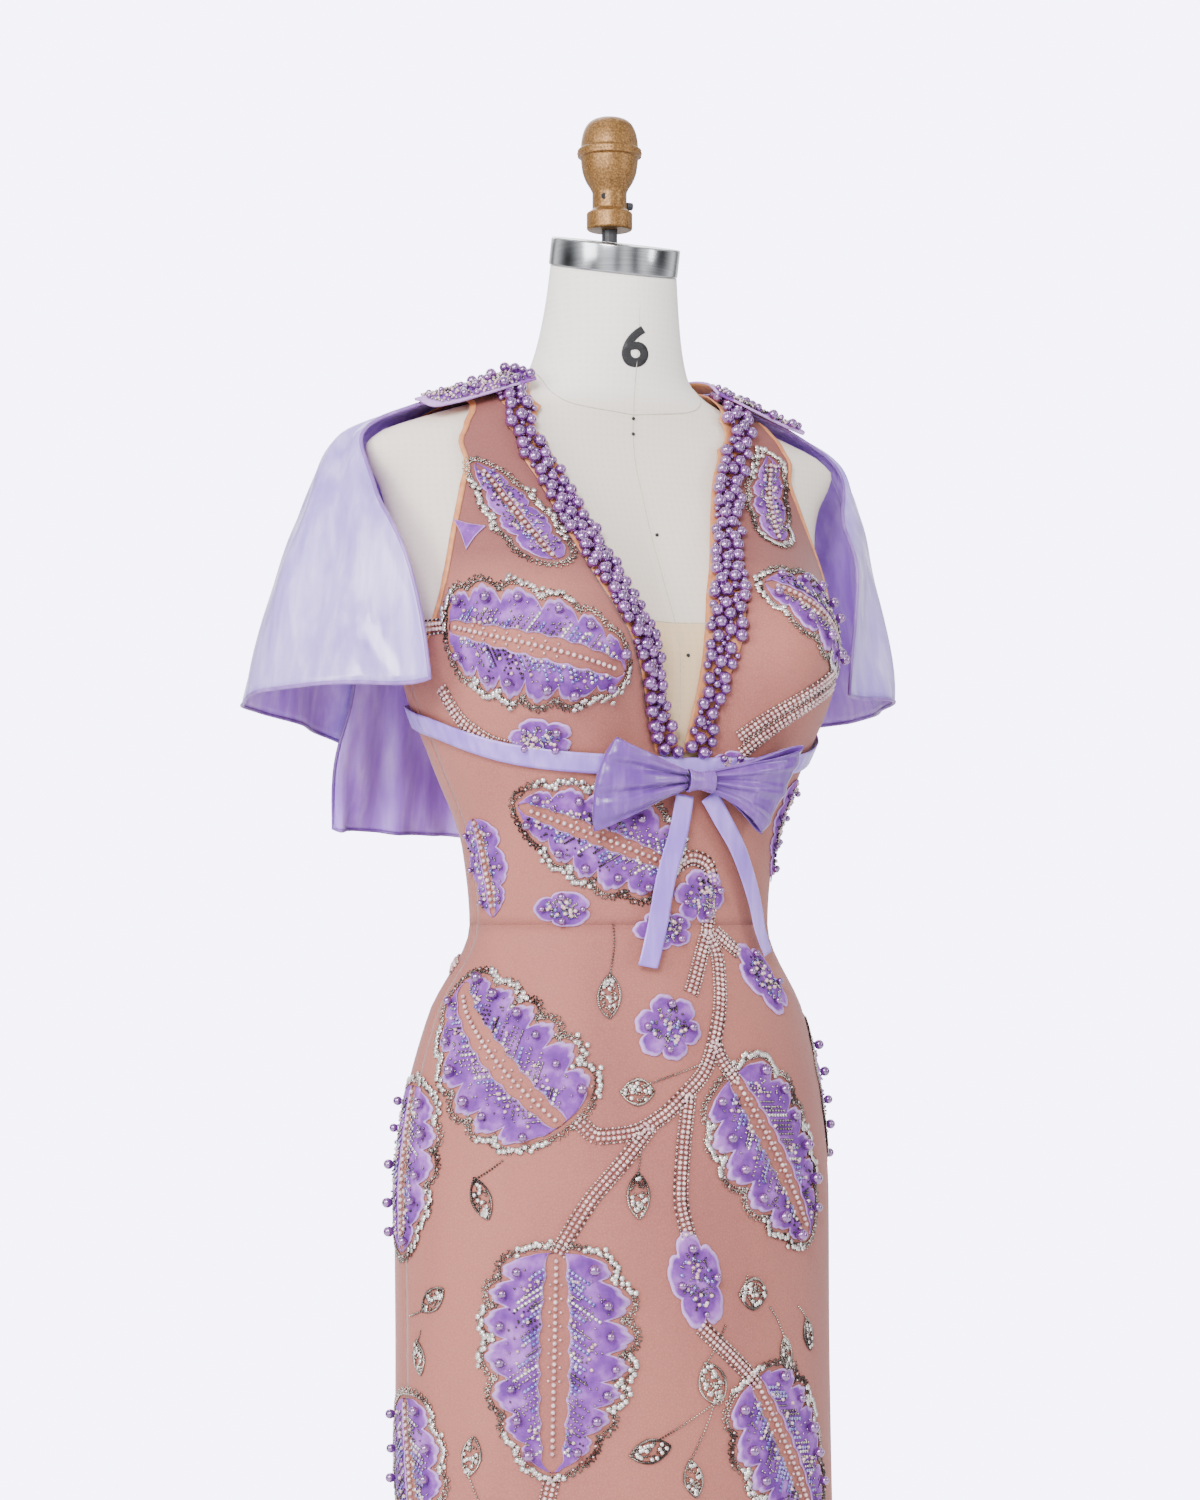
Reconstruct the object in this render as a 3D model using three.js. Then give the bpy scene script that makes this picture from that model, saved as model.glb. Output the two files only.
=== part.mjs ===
// A caped evening dress with bead and leaf trimming, standing on a limbless dress form.
// Millimetres, Z up. The front of the dress faces -Y, and X runs to the wearer's left.
// The origin lies on the floor, under the middle of the stand.

import * as THREE from 'three';

// Cloth: how far each layer lies out of the form, in millimetres
const CLOTH_IN = 3.0;
const CLOTH_OUT = 4.5;
const LEAF_IN = 5.9;
const LEAF_OUT = 7.1;
const LEAF_OVER_FLUTES = 0.4;
const LEAF_PILLOW = 0.6;
const RIBBON_IN = 7.2;
const RIBBON_OUT = 8.4;
const TAIL_IN = 10.2;
const TAIL_OUT = 11.4;
const SEAM_HALF = 0.2;
const UNDERBUST_HALF = 0.5;
const CAPE_CLOTH = 1.2;

// Heights on the figure
const HEM_HEIGHT = 12;
const WAIST_HEIGHT = 1040;
const FORM_BOTTOM = 770;
const NECK_TOP = 1553;
const NECK_TILT = THREE.MathUtils.degToRad(14);

// Stand
const POLE_RADIUS = 16;
const BASE_RADIUS = 118;
const BASE_THICKNESS = 16;
const GAP = 0.3;

// The figure from hem to neck, with the skirt's flare below the hips
const FIGURE = [
  // height, half width, front, back, middle
  [12, 250, -232, 232, 0],
  [60, 240, -221, 222, 0],
  [150, 222, -197, 200, 0],
  [300, 192, -160, 166, 0],
  [450, 176, -138, 142, 0],
  [600, 172, -128, 130, 0],
  [700, 172, -123, 127, 1],
  [830, 173, -119, 125, 2],
  [900, 167, -115, 114, 1],
  [970, 150, -107, 94, -2],
  [1040, 117, -95, 77, -5],
  [1100, 123, -97, 80, -4],
  [1165, 148, -103, 91, -2],
  [1225, 170, -100, 101, 2],
  [1250, 174, -97, 104, 4],
  [1300, 177, -75, 110, 8],
  [1340, 181, -56, 111, 12],
  [1375, 190, -42, 105, 16],
  [1393, 200, -34, 98, 16],
  [1405, 204, -31, 92, 16],
  [1417, 192, -29, 86, 17],
  [1428, 164, -29, 81, 17],
  [1438, 134, -30, 77, 17],
  [1449, 101, -31, 73.5, 17],
  [1458, 81, -32.5, 71, 16],
  [1468, 69, -34, 68, 15],
  [1480, 63, -37, 65, 13],
  [1500, 57.5, -40, 60, 10],
  [1525, 53.5, -42, 54, 7],
  [1557, 50, -44, 50, 4],
];
const BUST = { side: 96, height: 1250, out: 58, radius: 48, above: 62, below: 42 };

// Soft flutes of the skirt: they start below the hips and deepen to the hem
const FLUTES = { count: 8, top: 640, depth: 10, power: 1.4, turn: 14 };

// Edge where the bodice front meets the pearl band, and the band's own inner edge
const NECKLINE = [
  // inner angle, inner height, outer angle, outer height
  [0.5, 1170, 8.5, 1169],
  [3.5, 1189, 10.5, 1188],
  [7, 1217, 13.5, 1214],
  [10.5, 1250, 19, 1247],
  [14.5, 1281, 24, 1283],
  [16.8, 1312, 26, 1320],
  [18, 1346, 27.2, 1357],
  [20, 1380, 28.5, 1386],
  [21.5, 1407, 29.5, 1411],
  [27, 1428, 35, 1425],
  [35, 1438, 43.5, 1433.5],
  [50, 1449.5, 55.5, 1441.5],
  [66, 1456, 66.5, 1446],
  [90, 1461.5, 90, 1449.5],
];

// Degrees by which each of these rows is nearer the middle on the wearer's left
const LEFT_NECK_TURN = [0, 1.5, 3, 5, 6.5, 5, 2.5, 1.5, 1, 0.5, 0, 0, 0, 0];

// Armhole edge from the underarm over the front to the shoulder, then down the back
const ARMHOLE_FRONT = [
  // angle, height
  [90, 1235],
  [84, 1241],
  [77, 1254],
  [71, 1276],
  [65, 1304],
  [58, 1336],
  [50, 1369],
  [44, 1395],
  [44.5, 1413],
  [51, 1427],
  [64, 1436.5],
  [90, 1443],
];
const ARMHOLE_BACK = [
  // angle, height
  [90, 1235],
  [97, 1243],
  [106, 1264],
  [116, 1296],
  [123, 1332],
  [129, 1368],
  [130, 1396],
  [125, 1417],
  [112, 1432],
  [90, 1443],
];
const BACK_NECK = [
  // angle, height
  [180, 1472],
  [150, 1471],
  [122, 1467],
  [104, 1463.5],
  [90, 1461.5],
];
const UNDERBUST = [
  // angle from the middle of the front, height
  [0, 1158],
  [25, 1162],
  [42, 1166],
  [57, 1172],
  [70, 1181],
  [84, 1192],
  [105, 1202],
  [140, 1208],
  [180, 1210],
];

// Leaves of the trimming: from the stalk to the tip along the cloth
const LEAVES = [
  // name, stalk angle, stalk height, tip angle, tip height, half width, cells long, cells wide
  ['leaf_bust_right', -68, 1262, -22, 1228, 40, 10, 6],
  ['leaf_bust_left', 59, 1256, 24, 1298, 38, 10, 6],
  ['leaf_chest_right', -34, 1308, -42.5, 1388, 18, 6, 3],
  ['leaf_chest_left', 36, 1336, 36.5, 1410, 17, 6, 3],
  ['leaf_underbust', -2, 1084, -56, 1131, 36, 10, 4],
  ['leaf_hip_right', -34, 892, -80, 994, 45, 10, 4],
  ['leaf_hip_left', 14, 926, 42, 802, 48, 10, 4],
  ['leaf_thigh_middle', -35, 800, -37, 640, 54, 10, 4],
  ['leaf_thigh_left', 18, 700, 45, 570, 44, 8, 4],
  ['leaf_side_right_upper', -92, 918, -92, 794, 38, 7, 3],
  ['leaf_side_right_lower', -90, 686, -82, 566, 35, 8, 6],
  ['leaf_waist_side_right', -80, 1122, -76, 1046, 21, 9, 4],
  ['leaf_waist_side_left', 62, 1156, 66, 1074, 24, 9, 3],
  ['leaf_hip_side_left', 80, 960, 86, 850, 36, 7, 4],
  ['leaf_knee_middle', 4, 540, -6, 430, 36, 7, 4],
  ['leaf_knee_right', -58, 450, -48, 340, 36, 7, 4],
  ['leaf_hem_left', 40, 290, 50, 170, 38, 7, 4],
  ['leaf_back_hip', -146, 960, -154, 850, 36, 7, 4],
  ['leaf_back_thigh', 146, 760, 152, 640, 38, 7, 4],
  ['leaf_back_knee', -160, 500, -152, 380, 38, 7, 4],
];

// Cape, upper tier, wearer's left half, front edge first: each row is one fold line
// from the collar over the shoulder to the hem. The first three places are on the form.
const CAPE_FOLDS = [
  // collar angle and height, shoulder angle and height, arm angle and height,
  // then the corner, the upper arm, the elbow and the hem as x, y, z
  [60, 1452, 74, 1440, 84, 1427, [211, 12, 1411], [207, -10, 1370], [201, -44, 1318], [187, -72, 1222]],
  [72, 1454, 82, 1440, 88, 1427, [215, 20, 1413], [222, -4, 1368], [226, -20, 1314], [222, -48, 1220]],
  [82, 1456, 88, 1440, 90, 1427, [217, 28, 1414], [234, 14, 1368], [246, 4, 1310], [254, -16, 1218]],
  [92, 1457, 94, 1440, 94, 1427, [217, 36, 1414], [241, 34, 1368], [260, 34, 1310], [279, 36, 1215]],
  [102, 1458, 100, 1440, 98, 1427, [216, 44, 1413], [240, 54, 1368], [260, 68, 1310], [285, 86, 1211]],
  [112, 1459, 108, 1441, 104, 1427, [212, 53, 1410], [228, 74, 1364], [240, 92, 1306], [252, 112, 1205]],
  [122, 1460, 118, 1442, 114, 1427, [198, 68, 1404], [208, 92, 1358], [214, 108, 1300], [208, 128, 1197]],
  [133, 1461, 130, 1443, 126, 1425, [172, 92, 1396], [180, 118, 1348], [184, 132, 1290], [172, 160, 1188]],
  [146, 1462, 144, 1443, 142, 1422, [125, 112, 1390], [128, 134, 1343], [130, 146, 1284], [122, 168, 1174]],
  [163, 1463, 162, 1443, 162, 1420, [62, 122, 1388], [64, 138, 1340], [66, 150, 1280], [62, 172, 1160]],
  [180, 1464, 180, 1443, 180, 1418, [0, 124, 1387], [0, 139, 1338], [0, 152, 1276], [0, 176, 1152]],
];
const CAPE_REST = [8.8, 9.0, 9.8];
// The left half hangs a little closer to the side, more so towards the hem
const CAPE_LEFT_WIDTH = [1, 1, 1, 1, 0.985, 0.96, 0.94];

// Cape, lower tier, wearer's left half, side edge first: top, two middles, fold and hem
const LOWER_FOLDS = [
  // top, shoulder blade, waist, fold, hem as x, y, z
  [[150, 88, 1390], [158, 104, 1340], [164, 120, 1280], [170, 140, 1200], [175, 160, 1117]],
  [[112, 102, 1392], [116, 120, 1342], [120, 135, 1282], [124, 150, 1200], [126, 166, 1115]],
  [[58, 110, 1394], [60, 126, 1344], [62, 139, 1284], [64, 154, 1200], [64, 169, 1113]],
  [[0, 112, 1395], [0, 128, 1345], [0, 141, 1285], [0, 156, 1200], [0, 171, 1112]],
];

// Collar, wearer's left half: its neck line and its outer edge on the form
const COLLAR = [
  // neck angle, neck height, edge angle, edge height
  [51, 1451, 52, 1444],
  [60, 1456, 55, 1434],
  [70, 1460, 62, 1423],
  [82, 1463, 77, 1427],
  [94, 1466, 92, 1430],
  [112, 1469, 112, 1439],
  [136, 1473, 140, 1450],
  [158, 1474, 160, 1454],
  [179.4, 1474, 179.4, 1455],
];
const COLLAR_NECK_OUT = 11.5;
const COLLAR_EDGE_OUT = 13.5;
const COLLAR_CLOTH = 2.4;
const COLLAR_BEADS = 1.2;

// Bow on the ribbon, measured along the cloth from the knot
const BOW_ANGLE = 3.5;
const BOW_HEIGHT = 1150;
const LOOP = [
  // along, out of the form, half height
  [13, 17, 8],
  [30, 22, 20],
  [50, 25, 31],
  [68, 24, 37],
  [75, 19.5, 38],
  [68, 15, 36],
  [50, 13.6, 29],
  [30, 13.2, 19],
  [13, 13.2, 8],
];
const RIBBON_HALF = 7.7;
const BOW_CREASE = 2;
const KNOT = { halfWidth: 11, halfHeight: 8.5, inner: 12.2, outer: 24, crown: 5 };
const KNOT_CELLS = [-1, -0.4, 0.4, 1];
const TAILS = [
  // name, then angle and height down the ribbon's middle
  ['bow_tail_right', [0.2, 1139], [-2, 1110], [-6, 1075], [-9, 1040], [-12, 1006]],
  ['bow_tail_left', [8.6, 1139], [14, 1122], [24, 1094], [34, 1058], [41, 1014]],
];

// Colours as sRGB numbers
const COLOUR = {
  mesh: 0xc2958c,
  velvet: 0xa88bd0,
  satin: 0xc6bde8,
  pearl: 0x9b6fba,
  binding: 0xcf9a73,
  linen: 0xd8d1c6,
  bronze: 0xa0824e,
  steel: 0xb8bbc0,
  iron: 0x3a3a3d,
};
const LOOK = {
  // colour, roughness, metalness
  mesh: [COLOUR.mesh, 0.85, 0],
  velvet: [COLOUR.velvet, 0.9, 0],
  satin: [COLOUR.satin, 0.4, 0],
  pearl: [COLOUR.pearl, 0.3, 0],
  binding: [COLOUR.binding, 0.7, 0],
  linen: [COLOUR.linen, 0.95, 0],
  bronze: [COLOUR.bronze, 0.45, 0.8],
  steel: [COLOUR.steel, 0.3, 1],
  iron: [COLOUR.iron, 0.6, 0.4],
};

// Smooth tables: a curve through each column that never overshoots its rows

function tangents(xs, ys) {
  const steps = xs.slice(1).map((x, i) => x - xs[i]);
  const rises = steps.map((h, i) => (ys[i + 1] - ys[i]) / h);
  return xs.map((_, i) => {
    if (i === 0) return rises[0];
    if (i === xs.length - 1) return rises[i - 1];
    if (rises[i - 1] * rises[i] <= 0) return 0;
    const before = 2 * steps[i] + steps[i - 1];
    const after = steps[i] + 2 * steps[i - 1];
    return (before + after) / (before / rises[i - 1] + after / rises[i]);
  });
}

function smoothTable(rows) {
  const xs = rows.map((row) => row[0]);
  const columns = rows[0].slice(1).map((_, k) => rows.map((row) => row[k + 1]));
  const slopes = columns.map((ys) => tangents(xs, ys));
  return (x) => {
    const at = THREE.MathUtils.clamp(x, xs[0], xs[xs.length - 1]);
    let i = 0;
    while (i < xs.length - 2 && at > xs[i + 1]) i += 1;
    const h = xs[i + 1] - xs[i];
    const t = (at - xs[i]) / h;
    const start = (1 + 2 * t) * (1 - t) ** 2;
    const leave = t * (1 - t) ** 2 * h;
    const end = t * t * (3 - 2 * t);
    const arrive = t * t * (t - 1) * h;
    return columns.map((ys, k) => (
      start * ys[i] + leave * slopes[k][i] + end * ys[i + 1] + arrive * slopes[k][i + 1]
    ));
  };
}

// The figure: a place is an angle in degrees from the middle of the front, and a height

const sectionAt = smoothTable(FIGURE);
const underbustAt = smoothTable(UNDERBUST);

function fluteDepth(height) {
  if (height >= FLUTES.top) return 0;
  const share = (FLUTES.top - height) / (FLUTES.top - HEM_HEIGHT);
  return FLUTES.depth * share ** FLUTES.power;
}

function bareFigure(angle, height) {
  const [half, front, back, middle] = sectionAt(height);
  const turn = THREE.MathUtils.degToRad(angle);
  const ahead = Math.cos(turn);
  const reach = ahead > 0 ? middle - front : back - middle;
  const x = half * Math.sin(turn);
  const above = height > BUST.height ? BUST.above : BUST.below;
  const across = (Math.abs(x) - BUST.side) / BUST.radius;
  const up = (height - BUST.height) / above;
  const bust = BUST.out * Math.exp(-(across ** 2 + up ** 2) / 2) * THREE.MathUtils.clamp(2.5 * ahead, 0, 1);
  const flute = fluteDepth(height)
    * Math.cos(THREE.MathUtils.degToRad(FLUTES.count * (angle - FLUTES.turn)));
  return new THREE.Vector3(
    x + flute * Math.sin(turn),
    middle - reach * ahead - bust - flute * ahead,
    height,
  );
}

function figureNormal(angle, height) {
  const aside = bareFigure(angle + 0.5, height).sub(bareFigure(angle - 0.5, height));
  const upward = bareFigure(angle, height + 0.5).sub(bareFigure(angle, height - 0.5));
  return aside.cross(upward).normalize();
}

function figurePoint(angle, height, out = 0) {
  return bareFigure(angle, height).addScaledVector(figureNormal(angle, height), out);
}

// Millimetres along the cloth for a degree of angle, and for a millimetre of height
function clothScale(angle, height) {
  const aside = bareFigure(angle + 1, height).distanceTo(bareFigure(angle - 1, height)) / 2;
  const upward = bareFigure(angle, height + 1).distanceTo(bareFigure(angle, height - 1)) / 2;
  return [aside, upward];
}

// A curve of places, read by the share of its length: rows of angle and height, or two pairs
function placeCurve(rows) {
  let length = 0;
  const table = rows.map((row, i) => {
    if (i > 0) {
      const last = rows[i - 1];
      const here = figurePoint(...row.slice(-2), CLOTH_OUT);
      length += here.distanceTo(figurePoint(...last.slice(-2), CLOTH_OUT));
    }
    return [length, ...row];
  });
  const at = smoothTable(table);
  return (share) => at(share * length);
}

function spaced(curve, count, from = 0, to = 1) {
  return Array.from({ length: count + 1 }, (_, i) => curve(from + ((to - from) * i) / count));
}

// Triangles

const lerp = THREE.MathUtils.lerp;

function solid(points, faces) {
  const indexOf = new Map();
  const corners = [];
  const merged = points.map((point) => {
    const key = point.toArray().map((value) => Math.round(value * 500)).join(' ');
    if (!indexOf.has(key)) {
      indexOf.set(key, corners.length);
      corners.push(point);
    }
    return indexOf.get(key);
  });
  let kept = faces
    .map((face) => face.map((index) => merged[index]))
    .filter(([a, b, c]) => a !== b && b !== c && c !== a);
  const volume = kept.reduce((sum, [a, b, c]) => (
    sum + corners[a].dot(corners[b].clone().cross(corners[c])) / 6
  ), 0);
  if (volume < 0) kept = kept.map(([a, b, c]) => [a, c, b]);
  const geometry = new THREE.BufferGeometry();
  geometry.setAttribute('position', new THREE.Float32BufferAttribute(corners.flatMap((p) => p.toArray()), 3));
  geometry.setIndex(kept.flat());
  geometry.computeVertexNormals();
  return geometry;
}

// A wall of cloth between two grids of the same size. A looped wall joins its last row to its first.
function wall(outer, inner, looped = false) {
  const rows = outer.length;
  const columns = outer[0].length;
  const points = [...outer.flat(), ...inner.flat()];
  const far = rows * columns;
  const at = (i, j) => (i % rows) * columns + j;
  const faces = [];
  const quad = (a, b, c, d) => faces.push([a, b, c], [a, c, d]);
  const lastRow = looped ? rows : rows - 1;
  for (let i = 0; i < lastRow; i += 1) {
    for (let j = 0; j < columns - 1; j += 1) {
      quad(at(i, j), at(i, j + 1), at(i + 1, j + 1), at(i + 1, j));
      quad(far + at(i, j), far + at(i + 1, j), far + at(i + 1, j + 1), far + at(i, j + 1));
    }
    quad(at(i, 0), at(i + 1, 0), far + at(i + 1, 0), far + at(i, 0));
    quad(at(i, columns - 1), far + at(i, columns - 1), far + at(i + 1, columns - 1), at(i + 1, columns - 1));
  }
  if (!looped) {
    for (let j = 0; j < columns - 1; j += 1) {
      quad(at(0, j), far + at(0, j), far + at(0, j + 1), at(0, j + 1));
      quad(at(rows - 1, j), at(rows - 1, j + 1), far + at(rows - 1, j + 1), far + at(rows - 1, j));
    }
  }
  return solid(points, faces);
}

// A sheet with its own thickness, half to each side of a grid of points
function sheet(grid, thickness) {
  const last = [grid.length - 1, grid[0].length - 1];
  const push = (side) => grid.map((row, i) => row.map((point, j) => {
    const down = grid[Math.min(i + 1, last[0])][j].clone().sub(grid[Math.max(i - 1, 0)][j]);
    const along = grid[i][Math.min(j + 1, last[1])].clone().sub(grid[i][Math.max(j - 1, 0)]);
    const normal = down.cross(along).normalize();
    return point.clone().addScaledVector(normal, (side * thickness) / 2);
  }));
  return wall(push(1), push(-1));
}

// A closed body between rings of points, from the lowest ring to the highest
function loft(rings) {
  const count = rings[0].length;
  const points = rings.flat();
  const faces = [];
  for (let i = 0; i < rings.length - 1; i += 1) {
    for (let j = 0; j < count; j += 1) {
      const next = (j + 1) % count;
      const [a, b] = [i * count + j, i * count + next];
      faces.push([a, b, b + count], [a, b + count, a + count]);
    }
  }
  const middleOf = (ring) => ring.reduce((sum, p) => sum.add(p), new THREE.Vector3()).divideScalar(count);
  const [low, high] = [points.length, points.length + 1];
  points.push(middleOf(rings[0]), middleOf(rings[rings.length - 1]));
  const top = (rings.length - 1) * count;
  for (let j = 0; j < count; j += 1) {
    const next = (j + 1) % count;
    faces.push([low, next, j], [high, top + j, top + next]);
  }
  return solid(points, faces);
}

// The dress

const group = new THREE.Group();

function add(name, look, geometry) {
  const [color, roughness, metalness] = LOOK[look];
  const mesh = new THREE.Mesh(geometry, new THREE.MeshStandardMaterial({ color, roughness, metalness }));
  mesh.name = name;
  group.add(mesh);
  return mesh;
}

const mirrored = (places, side) => places.map(([angle, height]) => [side * angle, height]);

// Draws the ends of two edges in by half a seam, so that the pieces beside them stay clear
function seamed(places) {
  const shift = (from, toward) => {
    const length = figurePoint(...from).distanceTo(figurePoint(...toward));
    return from.map((value, k) => lerp(value, toward[k], SEAM_HALF / length));
  };
  const ends = [shift(places[0], places[1]), shift(places[places.length - 1], places[places.length - 2])];
  return [ends[0], ...places.slice(1, -1), ends[1]];
}

// The places of a panel between two edges. Its foot may follow a seam of its own.
function panelPlaces(from, to, columns, foot, fade = 5) {
  const starts = seamed(from);
  const ends = seamed(to);
  return starts.map((start, i) => {
    const end = ends[i];
    const width = figurePoint(...start).distanceTo(figurePoint(...end));
    return Array.from({ length: columns + 1 }, (_, j) => {
      const share = lerp(SEAM_HALF / width, 1 - SEAM_HALF / width, j / columns);
      const angle = lerp(start[0], end[0], share);
      let height = lerp(start[1], end[1], share);
      if (foot) {
        const footAngle = lerp(starts[0][0], ends[0][0], share);
        const bend = foot(footAngle) + UNDERBUST_HALF - lerp(starts[0][1], ends[0][1], share);
        height += bend * Math.max(0, 1 - i / fade);
      }
      return [angle, height];
    });
  });
}

const raised = (places, out) => places.map((row) => row.map(([angle, height]) => (
  figurePoint(angle, height, out)
)));

function panel(name, places) {
  return add(name, 'mesh', wall(raised(places, CLOTH_OUT), raised(places, CLOTH_IN)));
}

const SIDES = [['right', -1], ['left', 1]];
const seamAt = (angle) => underbustAt(Math.abs(angle))[0];
const neckline = {
  right: placeCurve(NECKLINE),
  left: placeCurve(NECKLINE.map(([inner, low, outer, high], i) => (
    [inner - LEFT_NECK_TURN[i], low, outer - LEFT_NECK_TURN[i], high]
  ))),
};
const armholeFront = placeCurve(ARMHOLE_FRONT);
const armholeBack = placeCurve(ARMHOLE_BACK);
const backNeck = placeCurve(BACK_NECK);
const NECK_ROWS = 16;
const SIDE_ROWS = 2;
const BACK_ROWS = 14;
const NAPE_ROWS = 4;

function sideSeam(rows) {
  const low = seamAt(90);
  return Array.from({ length: rows }, (_, i) => [90, lerp(low, ARMHOLE_FRONT[0][1], i / rows)]);
}

// Bodice: two fronts from the pearl band to the armholes, two backs from the middle seam
function makeBodice() {
  const frontOuter = [...sideSeam(SIDE_ROWS), ...spaced(armholeFront, NECK_ROWS + 1 - SIDE_ROWS)];
  const centre = Array.from({ length: BACK_ROWS - NAPE_ROWS }, (_, i) => (
    [180, lerp(seamAt(180), BACK_NECK[0][1], i / (BACK_ROWS - NAPE_ROWS))]
  ));
  const backInner = [...centre, ...spaced(backNeck, NAPE_ROWS)];
  const backOuter = [...sideSeam(SIDE_ROWS), ...spaced(armholeBack, BACK_ROWS - SIDE_ROWS)];
  SIDES.forEach(([side, sign]) => {
    const frontInner = [[0, seamAt(0)], ...spaced(neckline[side], NECK_ROWS).map((row) => row.slice(2))];
    const front = panelPlaces(mirrored(frontInner, sign), mirrored(frontOuter, sign), 9, seamAt);
    panel(`bodice_front_${side}`, front);
    const back = panelPlaces(mirrored(backOuter, sign), mirrored(backInner, sign), 7, seamAt);
    panel(`bodice_back_${side}`, back);
  });
}

// Below the bust every panel is split on the same angles, so that its seams run side by side
const PANEL_STEP = 9;
const LOWER_PANELS = [
  // suffix, first angle, last angle
  ['front', -90, 90],
  ['back_left', 90, 180],
  ['back_right', -180, -90],
];

function lowerPanel(name, from, to, heights) {
  const count = Math.round((to - from) / PANEL_STEP);
  const rows = heights(0).length;
  const places = Array.from({ length: rows }, (_, i) => Array.from({ length: count + 1 }, (__, j) => {
    const angle = lerp(from, to, j / count);
    const height = heights(angle)[i];
    const trim = SEAM_HALF / clothScale(angle, height)[0];
    if (j === 0) return [angle + trim, height];
    if (j === count) return [angle - trim, height];
    return [angle, height];
  }));
  panel(name, places);
}

const SKIRT_HEIGHTS = [WAIST_HEIGHT, 1015, 985, 945, 890, 820, 740, 640, 540, 430, 320, 200, 95, HEM_HEIGHT];

function makeMidriffAndSkirt() {
  const midriff = (angle) => [0, 0.25, 0.5, 0.75, 1].map((share) => (
    lerp(WAIST_HEIGHT + SEAM_HALF, seamAt(angle) - UNDERBUST_HALF, share)
  ));
  const skirt = () => SKIRT_HEIGHTS.map((height, i) => (i === 0 ? height - SEAM_HALF : height));
  LOWER_PANELS.forEach(([suffix, from, to]) => {
    lowerPanel(`midriff_${suffix}`, from, to, midriff);
    lowerPanel(`skirt_${suffix}`, from, to, skirt);
  });
}

// Pearl band beside each front edge: three pearls across, raised one by one
const BAND_CELLS = 4;
const PEARLS_TO_ROW = 2;
const PEARL_RISE = 3;

function makePearlBands() {
  SIDES.forEach(([side, sign]) => {
    const rows = spaced(neckline[side], NECK_ROWS);
    const places = panelPlaces(
      rows.map(([angle, height]) => [sign * angle, height]),
      rows.map((row) => [sign * row[2], row[3]]),
      BAND_CELLS,
    );
    const fine = (out, rise) => Array.from({ length: NECK_ROWS * PEARLS_TO_ROW + 1 }, (_, k) => {
      const i = Math.min(Math.floor(k / PEARLS_TO_ROW), NECK_ROWS - 1);
      const share = k / PEARLS_TO_ROW - i;
      return places[i].map((place, j) => {
        const edge = j === 0 || j === BAND_CELLS || k === 0 || k === NECK_ROWS * PEARLS_TO_ROW;
        const lift = !edge && (k + j) % 2 === 0 ? rise : 0;
        const low = figurePoint(...place, out + lift);
        return low.lerp(figurePoint(...places[i + 1][j], out + lift), share);
      });
    });
    add(`neckline_pearls_${side}`, 'pearl', wall(fine(CLOTH_OUT, PEARL_RISE), fine(CLOTH_IN, 0)));
  });
}

// Binding round each armhole, a narrow ring inside the panels' edges
const BINDING_WIDTH = 5;
const BINDING_CLEAR = 0.15;
const BINDING_PROUD = 0.3;
const BINDING_UNDER = 0.2;

function makeBindings() {
  const front = spaced(armholeFront, NECK_ROWS + 1 - SIDE_ROWS);
  const back = spaced(armholeBack, BACK_ROWS - SIDE_ROWS);
  const loop = [...front, ...back.slice(1, -1).reverse()];
  SIDES.forEach(([side, sign]) => {
    const places = loop.map((place, i) => {
      const before = loop[(i + loop.length - 1) % loop.length];
      const after = loop[(i + 1) % loop.length];
      const [aside, upward] = clothScale(...place);
      const run = new THREE.Vector2((after[0] - before[0]) * aside, (after[1] - before[1]) * upward);
      run.normalize();
      const inward = (distance) => [
        sign * (place[0] + (run.y * distance) / aside),
        place[1] - (run.x * distance) / upward,
      ];
      return [inward(SEAM_HALF + BINDING_CLEAR), inward(BINDING_WIDTH)];
    });
    add(`armhole_binding_${side}`, 'binding', wall(
      raised(places, CLOTH_OUT + BINDING_PROUD),
      raised(places, CLOTH_IN - BINDING_UNDER),
      true,
    ));
  });
}

// Leaves: lobed, pillowed, with a groove down the middle
const LEAF_LOBES = 4;
const LEAF_SHOULDER = 0.35;
const LEAF_TAPER = 0.6;
const LEAF_WIDEST = 0.534;

function leafHalfWidth(share, half) {
  const outline = (share ** LEAF_SHOULDER * (1 - share) ** LEAF_TAPER) / LEAF_WIDEST;
  const lobes = 0.84 + 0.16 * Math.cos(2 * Math.PI * (LEAF_LOBES * share - 0.5));
  return half * outline * lobes;
}

function makeLeaves() {
  LEAVES.forEach(([name, stalkAngle, stalkHeight, tipAngle, tipHeight, half, long, wide]) => {
    const middle = [(stalkAngle + tipAngle) / 2, (stalkHeight + tipHeight) / 2];
    const [aside, upward] = clothScale(...middle);
    const run = new THREE.Vector2((tipAngle - stalkAngle) * aside, (tipHeight - stalkHeight) * upward);
    run.normalize();
    const places = Array.from({ length: long + 1 }, (_, i) => Array.from({ length: wide + 1 }, (__, j) => {
      const share = i / long;
      const across = leafHalfWidth(share, half) * ((2 * j) / wide - 1);
      return [
        lerp(stalkAngle, tipAngle, share) + (run.y * across) / aside,
        lerp(stalkHeight, tipHeight, share) - (run.x * across) / upward,
      ];
    }));
    const lift = LEAF_OVER_FLUTES * fluteDepth(Math.min(stalkHeight, tipHeight));
    const outer = places.map((row, i) => row.map((place, j) => {
      const edge = i === 0 || i === long || j === 0 || j === wide;
      const groove = wide > 2 && j === wide / 2;
      return figurePoint(...place, LEAF_OUT + lift + (edge || groove ? 0 : LEAF_PILLOW));
    }));
    add(name, 'velvet', wall(outer, raised(places, LEAF_IN + lift)));
  });
}

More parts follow.
